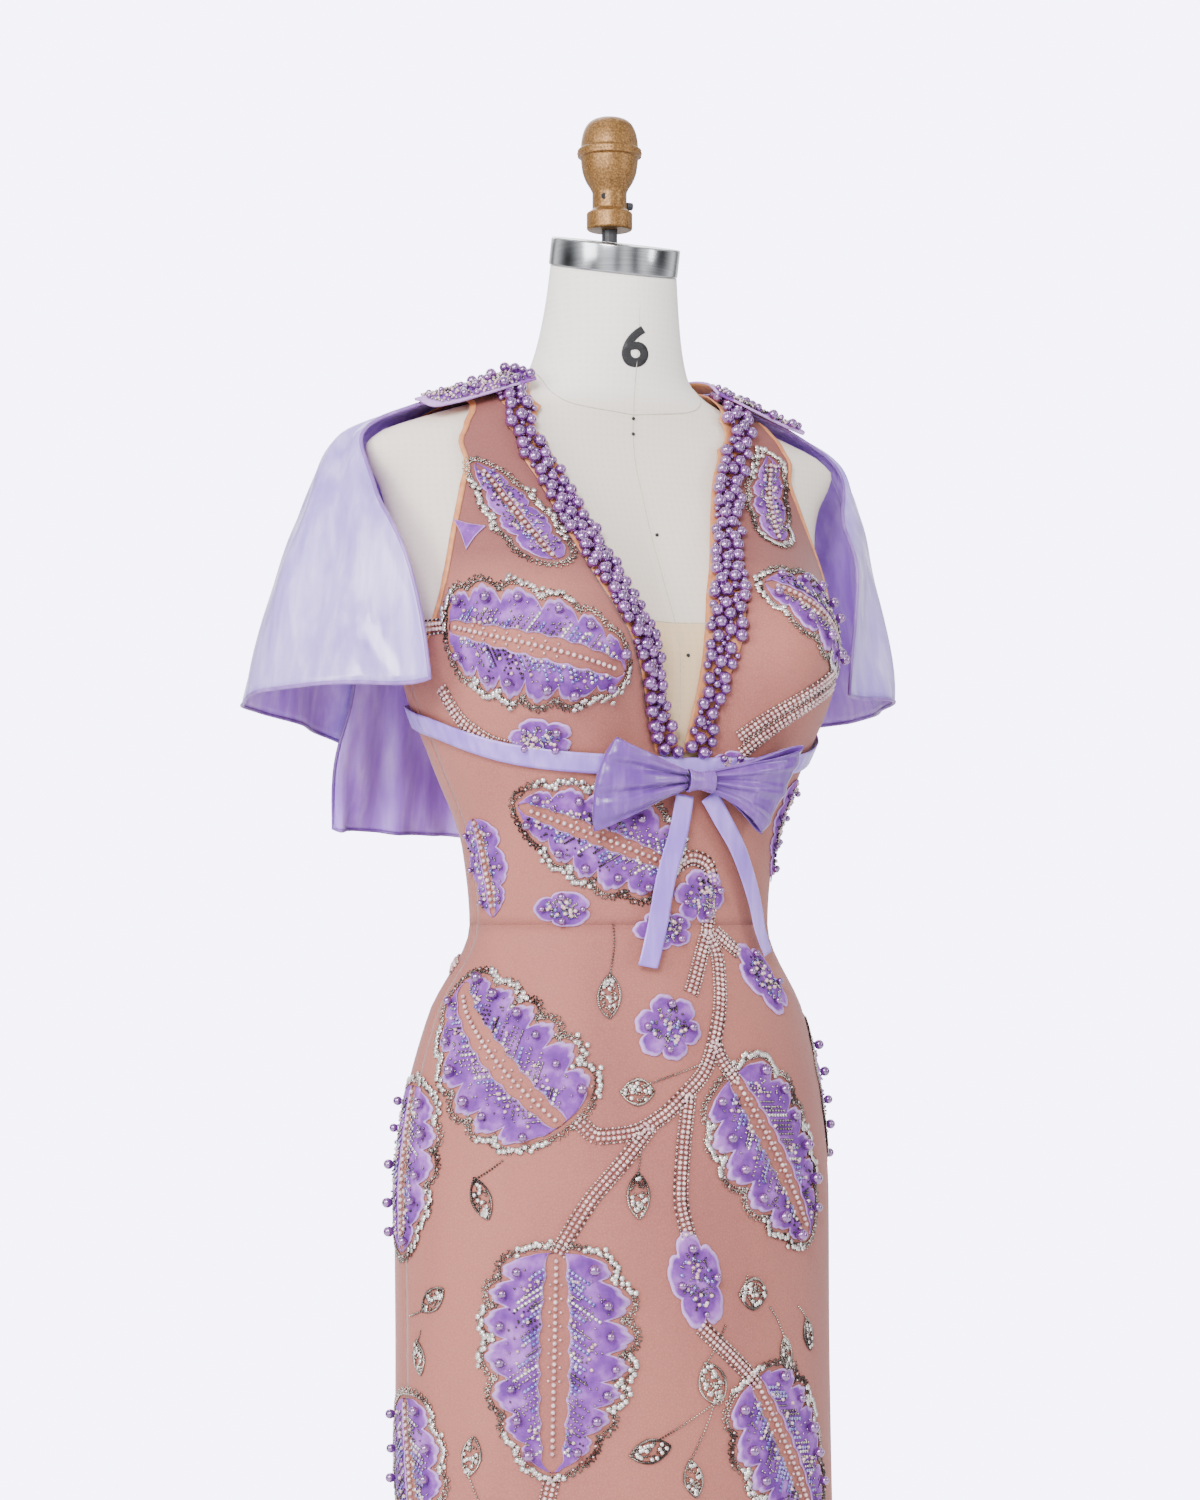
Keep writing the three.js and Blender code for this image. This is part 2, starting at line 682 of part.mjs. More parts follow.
// Ribbon over the underbust seam: one front and two backs, on the panels' own angles.
// Each end is drawn in by a part of a degree.
const RIBBON_TRIM = 0.15;

function makeRibbon() {
  LOWER_PANELS.forEach(([suffix, from, to]) => {
    const count = Math.round((to - from) / PANEL_STEP);
    const places = Array.from({ length: count + 1 }, (_, i) => {
      const trim = i === 0 ? RIBBON_TRIM : 0;
      const trimEnd = i === count ? RIBBON_TRIM : 0;
      const angle = lerp(from, to, i / count) + trim - trimEnd;
      return [[angle, seamAt(angle) - RIBBON_HALF], [angle, seamAt(angle) + RIBBON_HALF]];
    });
    add(`ribbon_${suffix}`, 'satin', wall(raised(places, RIBBON_OUT), raised(places, RIBBON_IN)));
  });
}

// Bow: a loop of folded ribbon to each side, a knot over them and two tails
function bowPlace(along, up) {
  const [aside, upward] = clothScale(BOW_ANGLE, BOW_HEIGHT);
  return [BOW_ANGLE + along / aside, BOW_HEIGHT + up / upward];
}

function makeBow() {
  const cells = 4;
  SIDES.forEach(([side, sign]) => {
    const grid = LOOP.map(([along, out, half]) => Array.from({ length: cells + 1 }, (_, j) => {
      const across = (2 * j) / cells - 1;
      const crease = j === cells / 2 ? -BOW_CREASE : 0;
      return figurePoint(...bowPlace(sign * along, across * half), out + crease);
    }));
    add(`bow_loop_${side}`, 'satin', sheet(grid, CAPE_CLOTH));
  });
  const knot = (out, lift) => KNOT_CELLS.map((up) => KNOT_CELLS.map((along) => {
    const soft = (1 - Math.abs(up) ** 3) * (1 - Math.abs(along) ** 3);
    return figurePoint(...bowPlace(along * KNOT.halfWidth, up * KNOT.halfHeight), out + lift * soft);
  }));
  add('bow_knot', 'satin', wall(knot(KNOT.outer - KNOT.crown, KNOT.crown), knot(KNOT.inner, 0)));
  TAILS.forEach(([name, ...middle]) => {
    const curve = placeCurve(middle);
    const places = spaced(curve, 8).map(([angle, height], i) => {
      const [aside, upward] = clothScale(angle, height);
      const [nextAngle, nextHeight] = curve(Math.min(i / 8 + 0.01, 1));
      const [lastAngle, lastHeight] = curve(Math.max(i / 8 - 0.01, 0));
      const run = new THREE.Vector2((nextAngle - lastAngle) * aside, (nextHeight - lastHeight) * upward);
      run.normalize();
      return [-RIBBON_HALF, RIBBON_HALF].map((across) => (
        [angle + (run.y * across) / aside, height - (run.x * across) / upward]
      ));
    });
    add(name, 'satin', wall(raised(places, TAIL_OUT), raised(places, TAIL_IN)));
  });
}

// Cape

// A smooth line through points, read at whole and part steps
function through(points, position) {
  const i = Math.min(Math.floor(position), points.length - 2);
  const t = position - i;
  const at = (k) => points[THREE.MathUtils.clamp(k, 0, points.length - 1)];
  const [a, b, c, d] = [at(i - 1), at(i), at(i + 1), at(i + 2)];
  const mix = (k) => 0.5 * (
    2 * b[k] + (c[k] - a[k]) * t
    + (2 * a[k] - 5 * b[k] + 4 * c[k] - d[k]) * t * t
    + (3 * b[k] - a[k] - 3 * c[k] + d[k]) * t ** 3
  );
  return [mix(0), mix(1), mix(2)];
}

// Mirrors half a cape's fold lines, so that they run from the right edge to the left edge
function wholeCape(half, leftWidth = []) {
  const right = half.map((line) => line.map(([x, y, z]) => [-x, y, z]));
  const left = half.slice(0, -1).map((line) => (
    line.map(([x, y, z], k) => [x * (leftWidth[k] ?? 1), y, z])
  ));
  return [...right, ...left.reverse()];
}

function capeGrid(lines, columns, downs) {
  return Array.from({ length: columns + 1 }, (_, i) => {
    const position = ((lines.length - 1) * i) / columns;
    return downs.map((down) => {
      const row = lines.map((line) => through(line, down));
      return new THREE.Vector3(...through(row, position));
    });
  });
}

function makeCape() {
  const upper = CAPE_FOLDS.map((fold) => {
    const onForm = CAPE_REST.map((out, k) => figurePoint(fold[2 * k], fold[2 * k + 1], out).toArray());
    return [...onForm, ...fold.slice(6)];
  });
  const upperDowns = [0, 0.5, 1, 1.5, 2, 2.5, 3, 3.5, 4.3, 5.2, 6];
  add('cape_upper_tier', 'satin', sheet(capeGrid(wholeCape(upper, CAPE_LEFT_WIDTH), 32, upperDowns), CAPE_CLOTH));
  const lowerDowns = [0, 1, 2, 3, 4];
  add('cape_lower_tier', 'satin', sheet(capeGrid(wholeCape(LOWER_FOLDS), 14, lowerDowns), CAPE_CLOTH));
}

function makeCollar() {
  const columns = 14;
  const cells = 4;
  const edge = smoothTable(COLLAR.map((row, i) => [i, ...row]));
  SIDES.forEach(([side, sign]) => {
    const place = (i, j, extra) => {
      const [neckAngle, neckHeight, edgeAngle, edgeHeight] = edge(((COLLAR.length - 1) * i) / columns);
      const share = j / cells;
      const out = lerp(COLLAR_NECK_OUT, COLLAR_EDGE_OUT, share) + extra;
      return figurePoint(sign * lerp(neckAngle, edgeAngle, share), lerp(neckHeight, edgeHeight, share), out);
    };
    const grid = (extra, beads) => Array.from({ length: columns + 1 }, (_, i) => (
      Array.from({ length: cells + 1 }, (__, j) => {
        const inside = i > 0 && i < columns && j > 0 && j < cells;
        return place(i, j, extra + (inside && (i + j) % 2 === 0 ? beads : 0));
      })
    ));
    add(`collar_${side}`, 'pearl', wall(grid(COLLAR_CLOTH, COLLAR_BEADS), grid(0, 0)));
  });
}

// The dress form and its stand

const FORM_ANGLES = [
  0, 9, 18, 27, 36, 46, 57, 70, 83, 97, 115, 136, 158,
  180, 202, 224, 245, 263, 277, 290, 303, 314, 324, 333, 342, 351,
];
const FORM_HEIGHTS = [
  775, 830, 890, 945, 985, 1015, 1040, 1070, 1105, 1140, 1170, 1200, 1225, 1250, 1275, 1300, 1330, 1360,
  1385, 1405, 1417, 1428, 1438, 1449, 1458, 1468, 1480, 1500, 1525, NECK_TOP,
];

const FORM_FOOT = 0.97;
const TILT_FROM = 1480;

// The neck is cut along the tilted cap above it
function tiltedNeck(point) {
  const share = THREE.MathUtils.clamp((point.z - TILT_FROM) / (NECK_TOP - TILT_FROM), 0, 1);
  return point.setZ(point.z + share * Math.tan(NECK_TILT) * point.y);
}

function makeForm() {
  const rings = FORM_HEIGHTS.map((height) => FORM_ANGLES.map((angle) => (
    tiltedNeck(figurePoint(angle > 180 ? angle - 360 : angle, height))
  )));
  const foot = rings[0].map(({ x, y }) => new THREE.Vector3(x * FORM_FOOT, y * FORM_FOOT, FORM_BOTTOM));
  add('form_body', 'linen', loft([foot, ...rings]));
}

const CAP = { radius: 51, height: 22, middle: 5, rim: 1.5 };

function lathe(profile, segments) {
  const geometry = new THREE.LatheGeometry(profile.map(([r, z]) => new THREE.Vector2(r, z)), segments);
  geometry.rotateX(Math.PI / 2);
  return geometry;
}

const FINIAL_PLACE = { y: 11, bottom: 1588 };
const FINIAL_SCREW = { radius: 6.2, sides: 12 };
const SET_SCREW = { radius: 3.2, length: 5, sides: 10, x: 17.2, up: 21 };
const FINIAL = [
  // radius, height above the finial's own foot
  [0, 0],
  [16, 0],
  [18.1, 1.8],
  [18.1, 13],
  [15.4, 15.5],
  [13.6, 17.5],
  [13.6, 29],
  [15, 33],
  [18.5, 38.7],
  [21.5, 47],
  [22.6, 55],
  [22.8, 57.6],
  [25.3, 59],
  [25.3, 63.8],
  [22.9, 65.8],
  [22.4, 71],
  [20.9, 78],
  [17.6, 84.6],
  [12, 88.6],
  [5, 90.2],
  [0, 90.4],
];

function makeNeckAndFinial() {
  const foot = NECK_TOP + Math.tan(NECK_TILT) * CAP.middle + GAP;
  const cap = [
    [0, 0],
    [CAP.radius - CAP.rim, 0],
    [CAP.radius, CAP.rim],
    [CAP.radius, CAP.height - CAP.rim],
    [CAP.radius - CAP.rim, CAP.height],
    [0, CAP.height],
  ];
  const neckCap = add('neck_cap', 'steel', lathe(cap, 24));
  neckCap.position.set(0, CAP.middle, foot);
  neckCap.rotation.x = NECK_TILT;

  // The screw's foot is cut along the tilted cap
  const capTop = (y) => foot + CAP.height / Math.cos(NECK_TILT) + Math.tan(NECK_TILT) * (y - CAP.middle);
  const { radius, sides } = FINIAL_SCREW;
  const screwRing = (height) => Array.from({ length: sides }, (_, k) => {
    const turn = (2 * Math.PI * k) / sides;
    const y = FINIAL_PLACE.y + radius * Math.sin(turn);
    return new THREE.Vector3(radius * Math.cos(turn), y, height ?? capTop(y) + GAP);
  });
  add('finial_screw', 'iron', loft([screwRing(), screwRing(FINIAL_PLACE.bottom - GAP)]));

  const finial = add('finial', 'bronze', lathe(FINIAL, 16));
  finial.position.set(0, FINIAL_PLACE.y, FINIAL_PLACE.bottom);

  const small = SET_SCREW;
  const screw = new THREE.CylinderGeometry(small.radius, small.radius, small.length, small.sides);
  screw.rotateZ(Math.PI / 2);
  const setScrew = add('finial_set_screw', 'iron', screw);
  setScrew.position.set(small.x, FINIAL_PLACE.y, FINIAL_PLACE.bottom + small.up);
}

const HUB_BORE = POLE_RADIUS + GAP;
const HUB = [
  // radius, height above the base
  [HUB_BORE, GAP],
  [HUB_BORE + 20, GAP],
  [HUB_BORE + 20, 6],
  [HUB_BORE + 7, 14],
  [HUB_BORE + 7, 40],
  [HUB_BORE, 40],
  [HUB_BORE, GAP],
];
const BASE_ROUND = 5;


function makeStand() {
  const turned = (name, look, profile, segments) => add(name, look, lathe(profile, segments));
  turned('stand_base', 'iron', [
    [0, 0],
    [BASE_RADIUS, 0],
    [BASE_RADIUS, BASE_THICKNESS - BASE_ROUND],
    [BASE_RADIUS - BASE_ROUND, BASE_THICKNESS],
    [0, BASE_THICKNESS],
  ], 32);
  turned('stand_pole', 'steel', [
    [0, BASE_THICKNESS + GAP],
    [POLE_RADIUS, BASE_THICKNESS + GAP],
    [POLE_RADIUS, FORM_BOTTOM - GAP],
    [0, FORM_BOTTOM - GAP],
  ], 20);
  turned('stand_hub', 'iron', HUB.map(([r, height]) => [r, BASE_THICKNESS + height]), 20);
}

makeForm();
makeNeckAndFinial();
makeStand();
makeBodice();
makeMidriffAndSkirt();
makePearlBands();
makeBindings();
makeLeaves();
makeRibbon();
makeBow();
makeCape();
makeCollar();

export default group;
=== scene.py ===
# %% [markdown]
# A caped evening dress on a dress form.
# The dress is pink net worked with velvet leaves, pearls and silver beads, and a satin cape
# hangs over the shoulders. This lesson loads the plain model first, which fixes every place and
# size, and then dresses it piece by piece. Lengths are in metres, and the tables are in
# millimetres, so a table is multiplied by MM when its points are made.

# %% Load the model that fixes every place
import math

import bpy
import numpy as np
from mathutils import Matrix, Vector


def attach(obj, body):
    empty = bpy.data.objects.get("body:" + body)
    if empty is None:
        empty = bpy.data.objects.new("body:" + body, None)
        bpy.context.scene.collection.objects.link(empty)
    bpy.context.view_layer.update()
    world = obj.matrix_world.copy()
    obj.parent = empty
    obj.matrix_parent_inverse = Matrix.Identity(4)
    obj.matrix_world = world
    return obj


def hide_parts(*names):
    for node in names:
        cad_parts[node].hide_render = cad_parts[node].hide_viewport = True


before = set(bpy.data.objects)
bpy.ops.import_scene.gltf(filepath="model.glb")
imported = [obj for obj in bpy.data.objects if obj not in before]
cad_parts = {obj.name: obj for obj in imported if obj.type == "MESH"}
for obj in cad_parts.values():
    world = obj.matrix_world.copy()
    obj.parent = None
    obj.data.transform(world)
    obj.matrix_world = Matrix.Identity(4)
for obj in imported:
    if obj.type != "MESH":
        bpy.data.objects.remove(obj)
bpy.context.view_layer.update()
MM = 0.001
dice = np.random.default_rng(6)

# %% [markdown]
# The camera stands where the photographer stood: 27 degrees to the wearer's right of the front,
# 2.6 m from the middle of the stand and level with the waist. A long 80 mm lens keeps the
# figure's proportions, and the slight tilt upward leaves the air above the finial.

# %% Put up the camera
CAMERA_TURN = math.radians(-27)
CAMERA_DISTANCE = 2.6
CAMERA_HEIGHT = 1.04
LENS = 80
SENSOR = 36
IMAGE_LONG_SIDE = 1500
PIXELS_LEFT = 16
PIXELS_UP = 175
focal_pixels = LENS / SENSOR * IMAGE_LONG_SIDE
forward = Vector((-math.sin(CAMERA_TURN), math.cos(CAMERA_TURN), 0))
sideways = Vector((math.cos(CAMERA_TURN), math.sin(CAMERA_TURN), 0))
yaw = math.atan(PIXELS_LEFT / focal_pixels)
pitch = math.atan(PIXELS_UP / focal_pixels)
level = forward * math.cos(yaw) - sideways * math.sin(yaw)
aim = level * math.cos(pitch) + Vector((0, 0, math.sin(pitch)))
camera_place = -forward * CAMERA_DISTANCE + Vector((0, 0, CAMERA_HEIGHT))
bpy.ops.object.camera_add(location=camera_place, rotation=aim.to_track_quat("-Z", "Y").to_euler())
camera = bpy.context.object
camera.name = "photo_camera"
camera.data.lens = LENS
camera.data.sensor_width = SENSOR
bpy.context.scene.camera = camera
print("camera at", [round(c, 3) for c in camera.location])

# %% [markdown]
# The figure under the cloth is one smooth surface, described by an angle from the middle of the
# front and a height. A table of sections gives its half width, front, back and middle, and a
# curve that never overshoots its rows runs through each column. Every piece of the dress is laid
# on this surface, so nothing floats and nothing sinks in. Below the hips it has soft flutes.

# %% Describe the figure
FIGURE = (
    (12, 250, -232, 232, 0), (60, 240, -221, 222, 0), (150, 222, -197, 200, 0),
    (300, 192, -160, 166, 0), (450, 176, -138, 142, 0), (600, 172, -128, 130, 0),
    (700, 172, -123, 127, 1), (830, 173, -119, 125, 2), (900, 167, -115, 114, 1),
    (970, 150, -107, 94, -2), (1040, 117, -95, 77, -5), (1100, 123, -97, 80, -4),
    (1165, 148, -103, 91, -2), (1225, 170, -100, 101, 2), (1250, 174, -97, 104, 4),
    (1300, 177, -75, 110, 8), (1340, 181, -56, 111, 12), (1375, 190, -42, 105, 16),
    (1393, 200, -34, 98, 16), (1405, 204, -31, 92, 16), (1417, 192, -29, 86, 17),
    (1428, 164, -29, 81, 17), (1438, 134, -30, 77, 17), (1449, 101, -31, 73.5, 17),
    (1458, 81, -32.5, 71, 16), (1468, 69, -34, 68, 15), (1480, 63, -37, 65, 13),
    (1500, 57.5, -40, 60, 10), (1525, 53.5, -42, 54, 7), (1557, 50, -44, 50, 4),
)
BUST_SIDE, BUST_HEIGHT, BUST_OUT, BUST_RADIUS, BUST_ABOVE, BUST_BELOW = 96, 1250, 58, 48, 62, 42
FLUTE_COUNT, FLUTE_TOP, FLUTE_DEPTH, FLUTE_POWER, FLUTE_TURN = 8, 640, 10, 1.4, 14
HEM_HEIGHT = 12


def smooth_table(rows):
    rows = np.array(rows, float)
    xs, ys = rows[:, 0], rows[:, 1:]
    steps = np.diff(xs)
    rises = np.diff(ys, axis=0) / steps[:, None]
    before = (2 * steps[1:] + steps[:-1])[:, None]
    after = (steps[1:] + 2 * steps[:-1])[:, None]
    same = rises[:-1] * rises[1:] > 0
    low, high = np.where(same, rises[:-1], 1), np.where(same, rises[1:], 1)
    inside = np.where(same, (before + after) / (before / low + after / high), 0)
    slopes = np.vstack([rises[:1], inside, rises[-1:]])

    def at(x):
        x = np.clip(np.asarray(x, float), xs[0], xs[-1])
        i = np.clip(np.searchsorted(xs, x, side="right") - 1, 0, len(xs) - 2)
        h = (xs[i + 1] - xs[i])[..., None]
        t = (x - xs[i])[..., None] / h
        leave, arrive = t * (1 - t) ** 2 * h, t * t * (t - 1) * h
        return ((1 + 2 * t) * (1 - t) ** 2 * ys[i] + leave * slopes[i]
                + t * t * (3 - 2 * t) * ys[i + 1] + arrive * slopes[i + 1])

    return at


section_at = smooth_table(FIGURE)


def bare_figure(angle, height):
    """Places on the figure, for angles in degrees from the middle of the front and heights."""
    angle, height = np.broadcast_arrays(np.asarray(angle, float), np.asarray(height, float))
    half, front, back, middle = np.moveaxis(section_at(height), -1, 0)
    turn = np.radians(angle)
    ahead = np.cos(turn)
    reach = np.where(ahead > 0, middle - front, back - middle)
    x = half * np.sin(turn)
    above = np.where(height > BUST_HEIGHT, BUST_ABOVE, BUST_BELOW)
    away = ((np.abs(x) - BUST_SIDE) / BUST_RADIUS) ** 2 + ((height - BUST_HEIGHT) / above) ** 2
    bust = BUST_OUT * np.exp(-away / 2) * np.clip(2.5 * ahead, 0, 1)
    down = np.clip((FLUTE_TOP - height) / (FLUTE_TOP - HEM_HEIGHT), 0, None)
    flute = FLUTE_DEPTH * down ** FLUTE_POWER * np.cos(np.radians(FLUTE_COUNT * (angle - FLUTE_TURN)))
    return np.stack([x + flute * np.sin(turn), middle - reach * ahead - bust - flute * ahead, height], -1)


def unit(vectors):
    return vectors / np.maximum(np.linalg.norm(vectors, axis=-1, keepdims=True), 1e-9)


def figure_normal(angle, height):
    angle, height = np.asarray(angle, float), np.asarray(height, float)
    aside = bare_figure(angle + 0.5, height) - bare_figure(angle - 0.5, height)
    upward = bare_figure(angle, height + 0.5) - bare_figure(angle, height - 0.5)
    return unit(np.cross(aside, upward))


def figure_point(angle, height, out):
    """Places that far out of the figure."""
    out = np.asarray(out, float)[..., None]
    return bare_figure(angle, height) + figure_normal(angle, height) * out


def cloth_scale(angle, height):
    """Millimetres on the figure for a degree round it and for a millimetre of height."""
    aside = bare_figure(angle + 1, height) - bare_figure(angle - 1, height)
    upward = bare_figure(angle, height + 1) - bare_figure(angle, height - 1)
    return np.linalg.norm(aside, axis=-1) / 2, np.linalg.norm(upward, axis=-1) / 2


hips = bare_figure(np.arange(-180, 180, 2.0), 900)
print("round the hips:", round(float(np.linalg.norm(np.roll(hips, 1, 0) - hips, axis=1).sum())), "mm")

# %% [markdown]
# Cloth starts as a flat grid, as a cut piece does, and each of its crossings is then carried to
# its place. A Solidify modifier gives it a thickness and is applied, so the piece is a real wall.
# The helpers below select one piece at a time, because an operator works on all that is selected.

# %% Helpers for grids and walls


def added(name, operator, **settings):
    """Adds one primitive, with nothing else selected, and names it."""
    bpy.ops.object.select_all(action="DESELECT")
    operator(**settings)
    piece = bpy.context.object
    piece.name = name
    return piece


def only(piece):
    bpy.ops.object.select_all(action="DESELECT")
    piece.select_set(True)
    bpy.context.view_layer.objects.active = piece


def vertices_of(piece):
    spots = np.empty(len(piece.data.vertices) * 3)
    piece.data.vertices.foreach_get("co", spots)
    return spots.reshape(-1, 3)


def move_vertices(piece, spots):
    piece.data.vertices.foreach_set("co", np.asarray(spots, float).ravel())
    piece.data.update()


def cloth_grid(name, columns, rows, place):
    """A flat grid with each crossing carried to its place, given for shares across and along."""
    piece = added(name, bpy.ops.mesh.primitive_grid_add, x_subdivisions=columns, y_subdivisions=rows, size=1)
    flat = vertices_of(piece) + 0.5
    move_vertices(piece, place(flat[:, 0], flat[:, 1]) * MM)
    return piece


def edit(piece, *steps):
    only(piece)
    bpy.ops.object.mode_set(mode="EDIT")
    bpy.ops.mesh.select_all(action="SELECT")
    for step in steps:
        step()
    bpy.ops.object.mode_set(mode="OBJECT")


def weld(millimetres=0.02):
    bpy.ops.mesh.remove_doubles(threshold=millimetres * MM)


def outward():
    bpy.ops.mesh.normals_make_consistent(inside=False)


def face_away(piece):
    """Turns a sheet's faces away from the figure's axis."""
    centres = np.array([face.center for face in piece.data.polygons])
    normals = np.array([face.normal for face in piece.data.polygons])
    if (centres[:, :2] * normals[:, :2]).sum() < 0:
        edit(piece, bpy.ops.mesh.flip_normals)


def apply_modifier(piece, kind, **settings):
    only(piece)
    modifier = piece.modifiers.new(kind.lower(), kind)
    for key, value in settings.items():
        setattr(modifier, key, value)
    bpy.ops.object.modifier_apply(modifier=modifier.name)


def thicken(piece, millimetres, side=-1, inner_slot=0):
    apply_modifier(piece, "SOLIDIFY", thickness=millimetres * MM, offset=side, material_offset=inner_slot)


def smooth(piece):
    only(piece)
    bpy.ops.object.shade_smooth()


def join(pieces):
    only(pieces[0])
    for piece in pieces:
        piece.select_set(True)
    bpy.ops.object.join()
    return pieces[0]


def cut_of(piece, columns, rows):
    """Width, length and area of a grid laid flat, before it gets its thickness."""
    grid = vertices_of(piece).reshape(rows + 1, columns + 1, 3)
    width = np.linalg.norm(np.diff(grid, axis=1), axis=2).sum(1).max()
    length = np.linalg.norm(np.diff(grid, axis=0), axis=2).sum(0).max()
    area = sum(face.area for face in piece.data.polygons)
    return float(width), float(length), float(min(area, width * length))


def sewn(name, columns, rows, place, wall, material, side=-1, steps=(), turned=True):
    """A sheet with its wall, and the width, length and area of its cut."""
    piece = cloth_grid(name, columns, rows, place)
    cut = cut_of(piece, columns, rows)
    if steps:
        edit(piece, *steps)
    if turned:
        face_away(piece)
    thicken(piece, wall, side)
    piece.data.materials.append(material)
    smooth(piece)
    return piece, cut


def settle(piece, slot, *nodes):
    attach(piece, "root")
    if nodes:
        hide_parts(*nodes)


# %% [markdown]
# Materials are built from nodes. Colours are given as hex values as on a screen, and one
# function turns them into the linear values that the shader wants. One function adds a node with
# its settings and links, so a material reads as a short list of what lies over what. A mix node
# has sockets of the same name for numbers and for colours, so the ones for colours are called
# by their numbers.

# %% Helpers for materials
MIX_SHARE, MIX_FIRST, MIX_SECOND, MIX_RESULT = 0, 6, 7, 2


def linear(hex_value):
    channels = [(hex_value >> shift & 255) / 255 for shift in (16, 8, 0)]
    return tuple(c / 12.92 if c <= 0.04045 else ((c + 0.055) / 1.055) ** 2.4 for c in channels) + (1,)


def feed(made, inputs):
    """Sets a node's inputs, each to a value or to what comes out of another node."""
    for socket, source in inputs.items():
        if isinstance(source, bpy.types.NodeSocket):
            made.id_data.links.new(source, made.inputs[socket])
        else:
            made.inputs[socket].default_value = source


def node(material, kind, inputs=None, stops=(), **properties):
    """Adds a node with its properties, its inputs and, on a colour ramp, its stops."""
    made = material.node_tree.nodes.new(kind)
    for name, value in properties.items():
        setattr(made, name, value)
    feed(made, inputs or {})
    if stops:
        elements = made.color_ramp.elements
        while len(elements) < len(stops):
            elements.new(0.5)
        for element, (position, value) in zip(elements, stops):
            element.position = position
            element.color = linear(value)
    return made


def finish(name, base, roughness, **values):
    """A new material and its shader, with a base colour, a roughness and other values."""
    material = bpy.data.materials.new(name)
    material.use_nodes = True
    shader = material.node_tree.nodes["Principled BSDF"]
    feed(shader, {"Base Color": linear(base), "Roughness": roughness})
    feed(shader, {key.replace("_", " "): value for key, value in values.items()})
    material.diffuse_color = linear(base)
    return material, shader


def per_metre(millimetres):
    """How often a pattern of that size repeats in a metre, which is a texture's scale."""
    return 1 / (millimetres * MM)


def grain(material, millimetres, detail=3, stretch=(1, 1, 1)):
    """A cloudy pattern laid in the piece's own coordinates, with clouds of about that size."""
    place = node(material, "ShaderNodeTexCoord").outputs["Object"]
    laid = node(material, "ShaderNodeMapping", {"Vector": place, "Scale": stretch}).outputs["Vector"]
    return node(material, "ShaderNodeTexNoise",
                {"Vector": laid, "Scale": per_metre(millimetres), "Detail": detail}).outputs["Fac"]


def surface(material, shader, tone, stops=(), relief=None, millimetres=0, strength=1):
    """Gives a finish its colour, through those stops if any, and a relief of that depth."""
    if stops:
        tone = node(material, "ShaderNodeValToRGB", {"Fac": tone}, stops).outputs["Color"]
    feed(shader, {"Base Color": tone})
    if relief is not None:
        raised = node(material, "ShaderNodeBump",
                      {"Height": relief, "Strength": strength, "Distance": millimetres * MM})
        feed(shader, {"Normal": raised.outputs["Normal"]})


# %% [markdown]
# The dress is dusty pink stretch net over a lining of nearly the same colour. The real net has
# cells of about one millimetre, too fine for the picture, so they are drawn 2.4 mm wide. The
# tone drifts slowly where the two layers part and meet. From 1290 mm up to 1320 mm the net is
# painted darker and stays so above, which is painted shade over the upper bodice. Net scatters
# light and has no highlight, so it is rough, with a little sheen from its fibres.

# %% Net
# the last two numbers are the heights where the painted shade over the upper bodice starts and where it is full
NET_CELL, NET_DRIFT, SHADE_START_HEIGHT, SHADE_FULL_HEIGHT = 2.4, 160, 1290, 1320
net, shader = finish("dusty_pink_net", 0xA6645C, 0.8, Sheen_Weight=0.15, Sheen_Roughness=0.4)
place = node(net, "ShaderNodeTexCoord").outputs["Object"]
cells = node(net, "ShaderNodeTexVoronoi", {"Vector": place, "Scale": per_metre(NET_CELL)},
             feature="DISTANCE_TO_EDGE").outputs["Distance"]
threads = node(net, "ShaderNodeValToRGB", {"Fac": cells},
               ((0.0, 0x92524B), (0.18, 0xA26257), (1.0, 0xA66658))).outputs["Color"]
drift = node(net, "ShaderNodeValToRGB", {"Fac": grain(net, NET_DRIFT, stretch=(1.6, 1.6, 0.5))},
             ((0.3, 0x824947), (0.65, 0xA66758))).outputs["Color"]
upward = node(net, "ShaderNodeSeparateXYZ", {"Vector": place}).outputs["Z"]
# painted shade: the net grows darker from 1290 mm to 1320 mm and stays darker above, over the upper bodice
upper_bodice_shade = node(net, "ShaderNodeMapRange", {"Value": upward, "From Min": SHADE_START_HEIGHT * MM,
                                           "From Max": SHADE_FULL_HEIGHT * MM}).outputs["Result"]
unshaded_net_tone = node(net, "ShaderNodeMix", {MIX_SHARE: 0.45, MIX_FIRST: threads, MIX_SECOND: drift},
                  data_type="RGBA").outputs[MIX_RESULT]
# the darker colour of that painted shade
shaded_net_tone = node(net, "ShaderNodeMix", {MIX_SHARE: 0.3, MIX_FIRST: linear(0x74403F), MIX_SECOND: threads},
                 data_type="RGBA").outputs[MIX_RESULT]
tone = node(net, "ShaderNodeMix", {MIX_SHARE: upper_bodice_shade, MIX_FIRST: unshaded_net_tone, MIX_SECOND: shaded_net_tone},
            data_type="RGBA").outputs[MIX_RESULT]
surface(net, shader, tone, relief=cells, millimetres=0.25, strength=0.6)
